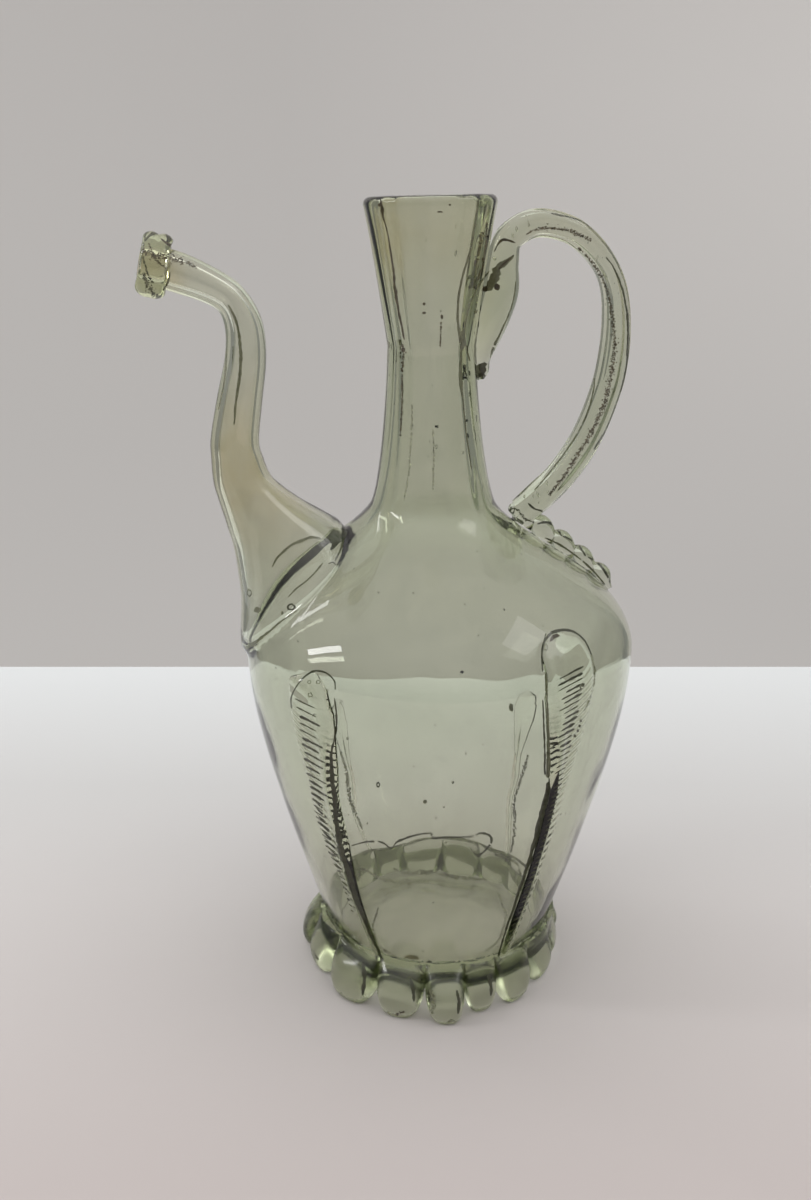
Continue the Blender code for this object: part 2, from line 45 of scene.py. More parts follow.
SHOULDER_HEIGHT = 0.1000
SHOULDER_RADIUS = 0.0544
BASE_HEIGHT = 0.0040
BASE_RADIUS = 0.0310
BASE_FILLET = 0.0014
KICK_HEIGHT = 0.0055
BODY_WALL = 0.0020
NECK_WALL = 0.0037
BASE_WALL = 0.0028
SPOUT_WALL = 0.0021
NECK_OFFSET = 0.0020
NECK_LEAN = 0.0156
RIM_TILT = 0.0008
BASE_CURVE_STEPS = 22
FLOOR_CURVE_STEPS = 20
FLOOR_CORNER_STEPS = 5

# Unevenness of the blown wall: height of the waves, their length and the place of their pattern
OUTSIDE_WAVES = ((0.00012, 0.022, 3.0), (0.00004, 0.007, 9.0))
INSIDE_WAVES = (0.00020, 0.018, 5.0)
FLOOR_LUMPS = ((0.00034, 0.008, 0.0), (0.00012, 0.004, 9.0))
FLOOR_LUMPS_HEIGHT = 0.010
FOLD_RELIEF = 0.00045
FOLD_LENGTH = 0.05
FOLDS_PER_TURN = 3.1
FOLDS_FROM_HEIGHT = 0.128
FOLDS_FADE = 0.016
QUIET_RADIUS = 0.008

# Spout
SPOUT_FOOT_HEIGHT = 0.1162
SPOUT_FOOT_SINK = 0.0047
SPOUT_FOOT_DEPTH = 0.0221
SPOUT_FOOT_WIDTH = 0.0210
SPOUT_REACH = 0.0359
SPOUT_RISE = 0.0874
SPOUT_TUBE_RADIUS = 0.0050
BORE_ENTRY = 0.0080
LIP_RING_THICKNESS = 0.0034
LIP_RING_LENGTH = 0.0074
LIP_RING_SIDES = 72
LIP_RING_CORNERS = 24
LIP_GROOVE = 0.46

# How far the melted joints reach and how often they are smoothed: every joint, and the spout's seam
JOINT_SOFTNESS = 0.0011
JOINT_ROUNDS = 6
SEAM_SOFTNESS = 0.0032
SEAM_ROUNDS = 7

# Handle
HANDLE_TOP_DROP = 0.0110
HANDLE_TOP_STANDOFF = 0.0050
HANDLE_REACH = 0.0280
HANDLE_FOOT_RADIUS = 0.0230
HANDLE_FOOT_RISE = 0.0027
STRAP_RADIUS = 0.0042
REED_DEPTH = 0.0006
REED_COUNT = 6
DROP_LENGTH = 0.0360
DROP_WIDTH = 0.0052
TAIL_END_RADIUS = 0.0498
TAIL_THICKNESS = 0.0068
TAIL_WIDTH = 0.0072
TAIL_BEADS = 5
TAIL_RINGS_PER_BEAD = 14
TAIL_SIDES = 36

# Foot
FOOT_TOP_HEIGHT = 0.0145
FOOT_BOTTOM_HEIGHT = 0.0064
FOOT_THREAD_DEPTH = 0.0042
FOOT_CREST = 0.0004
FOOT_NOTCH_RISE = 0.0070
LOBE_REACH = 0.0390
LOBE_THICKNESS = 0.0062
FOOT_OFFSET = 0.0014
FOOT_CORNERS = 33

# Leaves
LEAF_FULL_WIDTH = 0.0150
LEAF_THICKNESS = 0.0011
SPINE_THICKNESS = 0.0026
RIB_RELIEF = 0.00024
RIB_COUNT = 38
LEAF_SINK = 0.0007

# Fineness of the glass mesh
WALL_SIDES = 168
SPOUT_SIDES = 56
SPOUT_RINGS = 90
HANDLE_SIDES = 48
HANDLE_RINGS = 150
LEAF_ROWS = 216
BACK_LEAF_ROWS = 90
LEAF_COLUMNS = 19
OUTSIDE_STEPS = (34, 34, 18, 20)
INSIDE_STEPS = (28, 28, 14, 16)
SHARP_ANGLE = 38

# Table and wall behind the vessel, and the lights' distance
TABLE_BACK = 0.229
TABLE_FRONT = -1.4
TABLE_HALF = 1.2
WALL_BACK = 0.8
WALL_HALF = 0.62
WALL_LOW = -0.9
WALL_HIGH = 1.1
LIGHT_DISTANCE = 1.2

# Camera that fits the photograph: distance from the axis, height, degrees, and the picture's pixels
CAMERA_DISTANCE = 0.325
CAMERA_HEIGHT = 0.220
CAMERA_AZIMUTH = -9.0
CAMERA_TURN = -7.33
CAMERA_PITCH = 18.56
CAMERA_LENS = 36.33
SENSOR = 36.0
PHOTO_WIDTH = 811
PHOTO_HEIGHT = 1200

# Spout from mouth to foot: share of the reach, share of the rise, heading in degrees, share of the swell
SPOUT_SECTIONS = (
    (1.000, 1.000, -12, 0.000),
    (0.754, 0.973, -20, 0.004),
    (0.486, 0.926, -32, -0.030),
    (0.362, 0.884, -54, -0.036),
    (0.294, 0.814, -80, -0.003),
    (0.294, 0.720, -95, 0.022),
    (0.347, 0.602, -101, 0.053),
    (0.395, 0.482, -95, 0.081),
    (0.384, 0.420, -88, 0.112),
    (0.356, 0.360, -84, 0.157),
    (0.297, 0.312, -78, 0.218),
    (0.201, 0.253, -74, 0.335),
    (0.099, 0.188, -66, 0.480),
    (0.009, 0.092, -54, 0.732),
    (0.000, 0.000, -44, 1.000),
    (-0.070, -0.014, -43, 0.960),
    (-0.164, -0.041, -41, 0.900),
)

# Strap from top to landing: share of the way up, share of the reach, share of the radius
STRAP_PATH = (
    (1.000, 0.000, 0.90),
    (1.051, 0.254, 0.88),
    (1.030, 0.568, 0.84),
    (0.970, 0.782, 0.81),
    (0.888, 0.932, 0.80),
    (0.792, 1.000, 0.88),
    (0.658, 1.000, 0.97),
    (0.525, 0.943, 1.02),
    (0.438, 0.871, 1.02),
    (0.332, 0.754, 1.02),
    (0.233, 0.607, 1.02),
    (0.132, 0.400, 1.01),
    (0.059, 0.189, 1.03),
    (0.000, 0.000, 0.95),
)

# Drop down the neck: share of its length, distance from the neck, shares of the depth and the width
DROP_PATH = (
    (0.17, 0.0043, 0.83, 0.87),
    (0.36, 0.0047, 0.96, 1.00),
    (0.55, 0.0038, 0.88, 0.98),
    (0.73, 0.0025, 0.69, 0.78),
    (0.86, 0.0015, 0.46, 0.54),
    (0.94, 0.0012, 0.42, 0.48),
    (1.00, 0.0010, 0.20, 0.24),
)

# Lobes of the foot that show: azimuth and how much further than the usual reach
SEEN_LOBES = (
    (-165.0, -0.0002),
    (-137.0, 0.0022),
    (-114.0, 0.0026),
    (-93.5, 0.0046),
    (-79.0, 0.0010),
    (-62.6, 0.0016),
    (-40.0, 0.0002),
    (-18.0, -0.0006),
)
HIDDEN_LOBES = 9
HIDDEN_LOBE_VARIATION = 0.0008
LOBE_COLUMNS = (-1.0, -0.93, -0.82, -0.68, -0.50, -0.30, -0.10, 0.10, 0.30, 0.50, 0.68, 0.82, 0.93)

# Outlines of the leaves from the head down, as shares of length and width
BROAD_LEAF = ((0.00, 0.25), (0.03, 0.75), (0.07, 1.00), (0.12, 1.00), (0.24, 0.90), (0.35, 0.68),
              (0.51, 0.64), (0.65, 0.43), (0.79, 0.26), (0.95, 0.16), (1.00, 0.12))
SLIM_LEAF = ((0.00, 0.22), (0.03, 0.74), (0.10, 1.00), (0.18, 0.87), (0.28, 0.63), (0.40, 0.35),
             (0.53, 0.29), (0.69, 0.23), (0.83, 0.24), (1.00, 0.16))
# Leaves: azimuth at the head and at the foot, height of the head, width, outline and side of the spine
LEAVES = (
    (-135.4, -127.0, 0.1058, 0.0150, BROAD_LEAF, 1),
    (-60.8, -64.0, 0.1150, 0.0176, SLIM_LEAF, -1),
    (43.0, 37.0, 0.0680, 0.0084, SLIM_LEAF, 1),
    (126.0, 122.5, 0.0640, 0.0084, SLIM_LEAF, -1),
)

# Dirt, folds, and painted shade along the dark edges of leaves, lobes, strap and drop: tone, share of breaks,
# how many surfaces behind the first, and a path of (x, y, width) in pixels of the photograph. A line with
# many breaks is made of specks.
BROWN = (0.115, 0.092, 0.052)
# LEAF_DARK is the tone of the painted shade along dark edges, and of dark specks and rib dashes
LEAF_DARK = (0.090, 0.096, 0.052)
SOFT_GREEN = (0.27, 0.28, 0.18)
FAINT_GREEN = (0.46, 0.47, 0.36)
MARK_DEPTH = 0.00018
SURFACE_STEP = 0.00005
SPECKLED = 0.24
LINE_STEP = 1.2
LONGEST_FACE = 0.004
LONGEST_SPECK = 0.002
BLOT_SPOKES = 14
LINES = (
    (BROWN, 0.10, 0, ((380, 199, 2.0), (382, 210, 3.2), (383, 218, 1.6), (387, 232, 1.2), (390, 250, 1.6),
     (393, 270, 1.8), (395, 291, 2.8), (398, 308, 2.6), (401, 324, 2.0), (404, 340, 1.6))),
    (BROWN, 0.42, 0, ((402, 345, 2.4), (403, 353, 3.2), (402, 372, 1.2), (402, 402, 1.6), (400, 436, 1.0))),
    (SOFT_GREEN, 0.05, 0, ((388, 341, 3.6), (386, 360, 3.4), (385, 380, 2.6), (384, 402, 2.2),
     (381, 430, 1.6))),
    (BROWN, 0.38, 0, ((483, 232, 3.0), (481, 242, 4.4), (478, 254, 4.0), (475, 266, 2.0))),
    (BROWN, 0.50, 0, ((487, 222, 1.2), (486, 245, 1.6), (483, 266, 2.0), (478, 280, 1.4))),
    (SOFT_GREEN, 0.20, 0, ((479, 198, 1.6), (475, 226, 1.6), (470, 252, 2.0), (463, 276, 2.2),
     (459, 296, 2.2), (458, 320, 2.4), (461, 344, 3.0))),
    (SOFT_GREEN, 0.15, 0, ((463, 330, 3.4), (464, 343, 4.4), (461, 354, 2.0), (461, 380, 3.6),
     (463, 400, 1.6), (466, 430, 1.4), (472, 470, 1.2))),
    (BROWN, 0.35, 0, ((441, 322, 1.0), (441, 336, 1.4), (440, 346, 0.9))),
    (FAINT_GREEN, 0.35, 0, ((412, 405, 1.2), (411, 440, 1.6), (409, 470, 1.2), (404, 500, 1.2))),
    (FAINT_GREEN, 0.40, 0, ((433, 430, 1.0), (434, 455, 1.4), (433, 490, 1.2))),
    (SOFT_GREEN, 0.02, 0, ((514, 256, 2.4), (507, 261, 5.0), (500, 267, 8.0), (495, 275, 9.0),
     (491, 284, 8.0), (488, 291, 5.0))),
    (BROWN, 0.00, 0, ((514, 255, 1.8), (506, 262, 2.6), (499, 269, 2.0))),
    (BROWN, 0.05, 0, ((494, 252, 1.2), (498, 244, 1.6), (503, 240, 3.4), (508, 240, 2.4), (516, 243, 1.2))),
    (SOFT_GREEN, 0.05, 0, ((489, 271, 1.2), (480, 284, 1.4), (472, 300, 1.4), (467, 316, 1.4),
     (465, 334, 1.4), (467, 350, 1.6), (470, 361, 1.8))),
    (SOFT_GREEN, 0.10, 0, ((516, 281, 1.2), (514, 299, 1.2), (508, 317, 1.4), (500, 334, 1.8),
     (494, 348, 2.8), (491, 359, 2.6))),
    (BROWN, 0.30, 0, ((527, 234, 1.4), (534, 230, 2.0), (546, 228, 3.6), (556, 229, 2.6), (568, 230, 3.4),
     (578, 234, 4.0), (591, 240, 2.2))),
    (BROWN, 0.24, 0, ((578, 248, 1.4), (590, 260, 2.0), (600, 274, 2.4), (606, 288, 2.6), (611, 308, 3.4),
     (614, 328, 4.0), (615, 346, 4.6), (613, 364, 5.0), (610, 381, 5.0), (605, 402, 4.4), (598, 420, 4.4),
     (588, 439, 4.4), (576, 458, 4.0), (563, 478, 3.2), (549, 496, 2.6))),
    (SOFT_GREEN, 0.18, 0, ((592, 368, 1.2), (594, 385, 1.2), (588, 410, 1.4), (578, 432, 1.4),
     (565, 452, 1.4), (549, 473, 1.4), (534, 490, 1.4))),
    # painted shade: the dark outer edges of the strap
    (LEAF_DARK, 0.10, 0, ((551, 213, 1.4), (560, 215, 1.6), (573, 218, 1.4), (585, 223, 1.2),
     (597, 232, 1.2))),
    (LEAF_DARK, 0.15, 0, ((606, 257, 1.4), (614, 268, 1.8), (621, 284, 2.0), (625, 300, 1.8), (628, 320, 2.0),
     (628, 345, 2.2), (626, 370, 2.0), (619, 398, 1.8), (609, 424, 1.6), (594, 450, 1.4))),
    (LEAF_DARK, 0.30, 0, ((506, 512, 2.0), (512, 508, 2.4), (519, 511, 1.6), (524, 519, 2.0),
     (534, 522, 1.6))),
    (LEAF_DARK, 0.20, 0, ((528, 503, 1.8), (535, 509, 2.2), (543, 512, 1.4), (549, 518, 1.8))),
    (LEAF_DARK, 0.10, 0, ((537, 524, 1.6), (547, 522, 2.4), (556, 527, 2.4), (562, 536, 2.0))),
    (LEAF_DARK, 0.10, 0, ((563, 536, 1.6), (572, 540, 2.4), (580, 547, 2.4), (586, 556, 2.0))),
    (LEAF_DARK, 0.10, 0, ((588, 557, 1.6), (597, 562, 2.4), (604, 570, 2.2), (609, 580, 2.2),
     (613, 590, 1.6))),
    (SOFT_GREEN, 0.10, 0, ((545, 538, 1.6), (560, 545, 2.0), (576, 556, 1.8), (592, 570, 1.8),
     (605, 585, 1.4))),
    (BROWN, 0.25, 0, ((149, 243, 1.6), (153, 254, 2.4), (158, 262, 1.8), (166, 268, 1.4))),
    (BROWN, 0.20, 0, ((160, 238, 1.4), (170, 245, 2.8), (180, 250, 3.0), (192, 255, 2.4), (205, 262, 1.4))),
    (LEAF_DARK, 0.25, 0, ((141, 246, 1.2), (143, 258, 1.6), (147, 272, 1.4), (153, 284, 1.2))),
    (SOFT_GREEN, 0.30, 0, ((172, 232, 1.4), (176, 242, 2.0), (173, 252, 1.6), (166, 255, 1.2))),
    (SOFT_GREEN, 0.12, 0, ((228, 305, 1.6), (236, 322, 2.4), (240, 345, 3.0), (240, 372, 3.4),
     (236, 400, 2.4), (234, 425, 1.6))),
    (FAINT_GREEN, 0.20, 0, ((222, 330, 1.4), (226, 352, 1.8), (224, 380, 1.6), (218, 410, 1.4))),
    (SOFT_GREEN, 0.00, 0, ((272, 567, 1.6), (277, 558, 2.0), (285, 550, 2.6), (293, 544, 2.6),
     (303, 540, 3.0), (313, 537, 2.8), (322, 539, 1.6))),
    (SOFT_GREEN, 0.15, 0, ((323, 563, 1.8), (315, 572, 1.8), (307, 580, 1.4), (297, 588, 1.6),
     (288, 597, 1.2))),
    (LEAF_DARK, 0.05, 0, ((347, 531, 2.0), (343, 542, 1.8), (340, 551, 1.4), (335, 561, 1.6))),
    (LEAF_DARK, 0.00, 0, ((328, 564, 0.8), (333, 562, 1.2), (337, 565, 0.8), (342, 561, 0.8))),
    (SOFT_GREEN, 0.00, 0, ((245, 649, 3.6), (257, 641, 3.4), (267, 633, 2.6), (280, 622, 2.0),
     (297, 610, 1.2))),
    (SOFT_GREEN, 0.05, 0, ((235, 588, 1.6), (236, 608, 2.2), (234, 628, 2.6), (236, 642, 2.0))),
    # painted shade: the dark outline and dark spine band of the left front leaf
    (LEAF_DARK, 0.05, 0, ((335, 690, 1.2), (334, 681, 1.4), (326, 673, 1.8), (315, 671, 2.2), (305, 676, 1.6),
     (296, 687, 1.4), (291, 698, 1.8), (291, 709, 1.2))),
    (LEAF_DARK, 0.05, 0, ((334, 698, 1.2), (336, 712, 1.8), (336, 730, 1.8), (333, 745, 1.8),
     (331, 755, 2.2))),
    (LEAF_DARK, 0.00, 0, ((331, 753, 2.2), (332, 775, 4.0), (334, 790, 4.8), (335, 806, 5.0), (337, 826, 5.4),
     (341, 850, 5.6), (349, 875, 5.4), (356, 898, 4.8), (365, 920, 3.8), (375, 943, 3.0), (383, 961, 2.2))),
    # painted shade: the dark outline and dark spine band of the right front leaf, with a brown speck of grime
    (LEAF_DARK, 0.02, 0, ((543, 672, 1.2), (542, 653, 1.6), (545, 641, 2.0), (552, 633, 3.0), (562, 630, 3.2),
     (575, 632, 2.4), (585, 641, 1.6), (592, 655, 1.2))),
    (SOFT_GREEN, 0.25, 0, ((592, 655, 1.2), (595, 670, 1.2), (594, 685, 1.2), (590, 700, 1.4),
     (585, 710, 1.2))),
    (BROWN, 0.00, 0, ((550, 641, 2.6), (554, 636, 4.4), (560, 636, 3.0))),
    (SOFT_GREEN, 0.05, 0, ((546, 672, 1.8), (547, 700, 2.4), (548, 735, 3.0), (548, 778, 3.8))),
    (LEAF_DARK, 0.05, 0, ((543, 700, 1.2), (544, 725, 1.6), (545, 750, 1.8), (545, 775, 2.2))),
    (LEAF_DARK, 0.00, 0, ((549, 782, 3.3), (547, 794, 4.8), (540, 820, 4.5), (534, 845, 4.1), (527, 868, 3.6),
     (520, 888, 3.0), (514, 908, 2.6), (506, 930, 2.1), (498, 957, 1.6))),
    (LEAF_DARK, 0.46, 2, ((530, 757, 2.2), (521, 780, 2.6), (517, 800, 2.8), (515, 822, 2.6),
     (510, 853, 2.2))),
    (SOFT_GREEN, 0.46, 2, ((338, 752, 2.0), (343, 775, 2.6), (348, 792, 2.8), (357, 811, 2.4),
     (364, 828, 2.0))),
    (LEAF_DARK, 0.22, 2, ((349, 848, 1.2), (377, 839, 1.8), (391, 844, 1.4), (401, 837, 1.8), (429, 834, 1.6),
     (434, 839, 2.0), (467, 839, 1.6), (482, 834, 2.0), (491, 837, 2.2), (487, 846, 1.8), (477, 853, 1.8),
     (470, 849, 1.4))),
    (SOFT_GREEN, 0.28, 2, ((392, 868, 2.0), (406, 872, 3.6), (434, 868, 3.0), (458, 872, 3.6),
     (487, 877, 2.4))),
    (SOFT_GREEN, 0.30, 2, ((494, 853, 2.0), (506, 858, 2.6), (518, 863, 2.0), (522, 874, 2.0))),
    (FAINT_GREEN, 0.30, 2, ((354, 886, 2.4), (358, 868, 3.0), (377, 879, 3.0), (404, 884, 2.6),
     (430, 878, 3.0))),
    (SOFT_GREEN, 0.34, 2, ((378, 905, 1.6), (372, 925, 2.0), (380, 945, 1.8), (396, 958, 1.8))),
    (BROWN, 0.24, 0, ((142, 251, 5.0), (155, 255, 7.0), (170, 258, 7.0), (185, 262, 5.0), (197, 267, 3.0))),
    (LEAF_DARK, 0.05, 0, ((144, 241, 2.0), (151, 234, 2.8), (161, 232, 2.6), (170, 236, 2.6),
     (177, 244, 1.8))),
    (LEAF_DARK, 0.24, 0, ((143, 272, 4.0), (147, 284, 6.0), (153, 295, 5.0), (162, 298, 3.0))),
    (SOFT_GREEN, 0.05, 0, ((170, 272, 1.6), (168, 282, 2.0), (163, 291, 1.6))),
    # painted shade: the dark sides and bottoms of the foot's lobes, in this line and the nine below it; the
    # brown streak among them is grime
    (LEAF_DARK, 0.10, 0, ((362, 962, 2.6), (364, 978, 4.4), (363, 996, 2.4))),
    (LEAF_DARK, 0.10, 0, ((410, 978, 2.4), (413, 990, 3.8), (414, 1002, 2.0))),
    (LEAF_DARK, 0.10, 0, ((457, 990, 2.0), (459, 1002, 3.6), (458, 1014, 2.0))),
    (LEAF_DARK, 0.10, 0, ((488, 974, 2.4), (491, 985, 3.6), (491, 996, 2.0))),
    (SOFT_GREEN, 0.24, 0, ((326, 980, 2.0), (332, 991, 4.0), (342, 999, 4.4), (356, 1003, 2.6))),
    (BROWN, 0.24, 0, ((372, 1006, 2.4), (382, 1013, 4.0), (394, 1016, 3.6), (404, 1012, 2.0))),
    (SOFT_GREEN, 0.24, 0, ((421, 1014, 2.4), (430, 1023, 4.0), (442, 1026, 4.0), (454, 1020, 2.4))),
    (LEAF_DARK, 0.24, 0, ((303, 915, 2.4), (305, 935, 4.4), (310, 950, 4.4), (318, 960, 2.4))),
    (SOFT_GREEN, 0.24, 0, ((430, 990, 4.0), (434, 1003, 5.0), (432, 1014, 3.0))),
    (LEAF_DARK, 0.24, 0, ((545, 915, 3.0), (550, 930, 4.0), (548, 942, 3.0))),
    (FAINT_GREEN, 0.34, 2, ((500, 893, 2.0), (506, 912, 2.4), (500, 935, 2.0), (486, 950, 2.0))),
)
# Specks, smudges, ringed bubbles and, as painted shade, the drop's dark end: place, size, tone, how many
# surfaces behind the first, and hollow share
BLOTS = (
    (380, 205, 5, 4, BROWN, 0, 0.0), (382, 211, 4, 4, BROWN, 0, 0.0), (424, 304, 3, 3, BROWN, 0, 0.0),
    (424, 313, 4, 2.4, BROWN, 0, 0.0), (442, 317, 2.6, 5, BROWN, 0, 0.0), (440, 212, 6, 1.8, BROWN, 0, 0.0),
    (450, 205, 2.4, 2, BROWN, 0, 0.0), (485, 289, 5, 6, BROWN, 0, 0.0), (497, 287, 6, 7, BROWN, 0, 0.0),
    # painted shade: the dark end of the drop down the neck
    (483, 370, 15, 15, LEAF_DARK, 0, 0.0), (481, 376, 9, 8, LEAF_DARK, 0, 0.0),
    (476, 312, 3, 3, SOFT_GREEN, 0, 0.0), (462, 672, 4, 3, (0.02, 0.02, 0.02), 0, 0.0),
    (378, 785, 4, 6, LEAF_DARK, 0, 0.4), (425, 802, 4, 4, SOFT_GREEN, 0, 0.0),
    (513, 707, 5, 7, FAINT_GREEN, 2, 0.0), (291, 607, 9, 7, LEAF_DARK, 0, 0.55),
    (249, 593, 5, 8, SOFT_GREEN, 0, 0.6), (257, 610, 7, 6, SOFT_GREEN, 0, 0.0),
    (282, 613, 2.4, 4, SOFT_GREEN, 0, 0.0), (318, 682, 5, 4, SOFT_GREEN, 0, 0.6),
    (309, 682, 4, 4, SOFT_GREEN, 0, 0.6), (310, 695, 5, 5, SOFT_GREEN, 0, 0.6),
    (546, 647, 4, 8, SOFT_GREEN, 0, 0.6), (581, 721, 2.4, 3, LEAF_DARK, 0, 0.0),
    (580, 726, 2.4, 3, LEAF_DARK, 0, 0.0), (578, 731, 2.6, 3, LEAF_DARK, 0, 0.0),
    (575, 736, 2.6, 3, LEAF_DARK, 0, 0.0), (583, 685, 4, 4, LEAF_DARK, 0, 0.0),
    (412, 957, 16, 8, (0.66, 0.60, 0.46), 2, 0.0), (396, 292, 3, 6, BROWN, 0, 0.0),
    (403, 350, 4, 5, BROWN, 0, 0.0),
)
# Edges of the combed part of the two front leaves, from the head down, in pixels, and their ribs
LEFT_COMB = ((293, 698), (298, 735), (305, 775), (312, 810), (324, 845), (340, 880), (352, 915))
LEFT_SPINE = ((322, 704), (326, 742), (329, 782), (331, 818), (338, 850), (348, 884), (357, 918))
RIGHT_COMB = ((588, 664), (583, 700), (574, 742), (563, 782), (553, 820), (540, 862), (527, 900), (510, 945))
RIGHT_SPINE = ((556, 672), (556, 708), (554, 748), (552, 786), (546, 822), (532, 864), (519, 902), (503, 947))
LEFT_RIBS = 34
RIGHT_RIBS = 52

# Seeds in the wall: how many, their least and greatest radius and how far they are drawn out
SEED = 11
BODY_SEEDS = 70
BODY_SEED_SIZE = (0.00018, 0.00042)
BODY_SEED_HEIGHT = (0.014, 0.135)
BODY_SEED_STRETCH = (1.0, 1.5)
NECK_SEEDS = 34
NECK_SEED_SIZE = (0.00015, 0.00032)
NECK_SEED_HEIGHT = (NECK_FOOT_HEIGHT, RIM_HEIGHT - 0.006)
NECK_SEED_STRETCH = (1.5, 4.0)
STRAP_SEEDS = 30
STRAP_SEED_ROWS = 60
STRAP_SEED_SPAN = (16, 58)
STRAP_SEED_SIZE = (0.00015, 0.00035)
STRAP_SEED_STRETCH = (1.0, 2.5)

# Glass: its colour in depth, the stain's colour, the surface colour by share of the height, patterns and haze
GLASS_TINT = (0.42, 0.53, 0.13, 1.0)
GLASS_DENSITY = 60.0
STAIN_TINT = (0.80, 0.68, 0.40, 1.0)
# surface colour by share of the height: darker at the foot and through the body's middle, lighter at the
# shoulder and the neck
TINT_BY_HEIGHT = ((0.07, (0.85, 0.84, 0.785)), (0.14, (0.93, 0.925, 0.89)), (0.24, (0.845, 0.855, 0.80)),
        (0.56, (0.845, 0.855, 0.80)), (0.66, (0.93, 0.93, 0.895)))
CLOUD_SCALE = 160.0
VEIL_SCALE = 38.0
VEIL_LIGHT = (0.955, 1.035)
HAZE = 0.07
FOOT_HAZE = 0.17
FOOT_HAZE_SHARES = (0.050, 0.095)
WAVE_SCALE = 70.0
WAVE_RELIEF = 0.00006
GRAIN_SCALE = 1400.0
GRAIN_LIGHT = (0.35, 1.9)

# Stage: the wall's colour and glow, the table's colour from front to back with painted shade darkening its
# front, the light pooled under the foot by share of its reach, the sky from below to above, and lights as
# azimuth, elevation, width, height, radiance, roll
WALL_COLOUR = (0.60, 0.582, 0.565, 1.0)
WALL_GLOW = (1.0, 0.955, 0.925, 1.0)
# table colour with painted shade: darker and warmer towards the front, lighter and cooler at the back
PAPER_WITH_PAINTED_SHADE = ((0.0, (0.60, 0.545, 0.535)), (0.38, (0.69, 0.665, 0.66)), (0.62, (0.69, 0.69, 0.69)),
         (1.0, (0.84, 0.87, 0.885)))
PAPER_FRONT = -0.10
POOL_GLOW = (1.0, 0.98, 0.95, 1.0)
POOL = ((0.58, (0.27, 0.27, 0.27)), (0.68, (0.12, 0.12, 0.12)), (0.88, (0.12, 0.12, 0.12)),
        (1.0, (0.0, 0.0, 0.0)))
SKY = ((0.40, (0.21, 0.21, 0.205)), (0.62, (0.27, 0.27, 0.275)), (0.95, (1.08, 1.06, 1.04)))
SKY_STRENGTH = 1.15
LIGHTS = (
    ("left_tube", 147, 34, 0.05, 0.42, 5.0, 0),
    ("left_window", 182, 33, 0.44, 0.11, 11.0, 58),
    ("right_window", -18, 52, 0.46, 0.30, 1.6, 0),
)


def ease(share):
    share = min(max(share, 0.0), 1.0)
    return share * share * (3.0 - 2.0 * share)


def bell(value, middle, width):
    return math.exp(-((value - middle) / width) ** 2)


def bezier(start, start_handle, end_handle, end, steps):
    points = []
    for step in range(1, steps + 1):
        t = step / steps
        weights = ((1 - t) ** 3, 3 * t * (1 - t) ** 2, 3 * t * t * (1 - t), t ** 3)
        corners = (start, start_handle, end_handle, end)
        points.append(tuple(sum(w * c[axis] for w, c in zip(weights, corners)) for axis in (0, 1)))
    return points


def smooth_samples(knots, count):
    samples = []
    last = len(knots) - 1
    for index in range(count):
        place = index / (count - 1) * last
        here = min(int(place), last - 1)
        t = place - here
        a, b, c, d = (knots[min(max(here + shift, 0), last)] for shift in (-1, 0, 1, 2))
        samples.append(tuple(
            0.5 * (2 * q + (r - p) * t + (2 * p - 5 * q + 4 * r - s) * t * t
                   + (3 * q - p - 3 * r + s) * t ** 3)
            for p, q, r, s in zip(a, b, c, d)))
    return samples


def lookup(table, value):
    for (key_a, number_a), (key_b, number_b) in zip(table, table[1:]):
        if value <= key_b:
            share = max(value - key_a, 0.0) / (key_b - key_a)
            return number_a + share * (number_b - number_a)
    return table[-1][1]


def outer_profile(steps=OUTSIDE_STEPS):
    base = (BASE_RADIUS, BASE_HEIGHT + BASE_FILLET)
    shoulder = (SHOULDER_RADIUS, SHOULDER_HEIGHT)
    neck = (NECK_FOOT_RADIUS, NECK_FOOT_HEIGHT)
    waist = (WAIST_RADIUS, WAIST_HEIGHT)
    rim = (RIM_RADIUS, RIM_HEIGHT - NECK_WALL / 2)

    def between(a, b, radius_share, height_share):
        return (a[0] + radius_share * (b[0] - a[0]), a[1] + height_share * (b[1] - a[1]))

    points = [base]
    points += bezier(base, between(base, shoulder, 0.40, 0.30), between(base, shoulder, 1.0, 0.75), shoulder,
                     steps[0])
    points += bezier(shoulder, between(shoulder, neck, 0.0, 0.45), between(shoulder, neck, 0.85, 0.725), neck,
                     steps[1])
    points += bezier(neck, between(neck, waist, 0.52, 0.167), between(neck, waist, 0.90, 0.67), waist,
                     steps[2])
    points += bezier(waist, between(waist, rim, 0.35, 0.42), between(waist, rim, 0.60, 0.69), rim, steps[3])
    return points


RADIUS_BY_HEIGHT = [(z, r) for r, z in outer_profile()]
HEIGHT_BY_RADIUS = [(r, z) for r, z in outer_profile() if SHOULDER_HEIGHT <= z <= WAIST_HEIGHT][::-1]


def body_radius(height):
    return lookup(RADIUS_BY_HEIGHT, height)


def surface_height(radius):
    return lookup(HEIGHT_BY_RADIUS, radius)


def neck_shift(height):
    settled = ease((height - SHOULDER_HEIGHT) / (NECK_FOOT_HEIGHT - SHOULDER_HEIGHT))
    return -NECK_OFFSET * settled - NECK_LEAN * max(height - NECK_FOOT_HEIGHT, 0.0)


def wall_at(height):
    share = ease((height - SHOULDER_HEIGHT) / (NECK_FOOT_HEIGHT - SHOULDER_HEIGHT))
    return BODY_WALL + share * (NECK_WALL - BODY_WALL)


def offset_profile(profile, distance):
    moved = []
    for index, (radius, height) in enumerate(profile):
        before = profile[max(index - 1, 0)]
        after = profile[min(index + 1, len(profile) - 1)]
        run, rise = after[0] - before[0], after[1] - before[1]
        length = math.hypot(run, rise)
        step = distance(height)
        moved.append((radius + rise / length * step, height - run / length * step))
    return moved


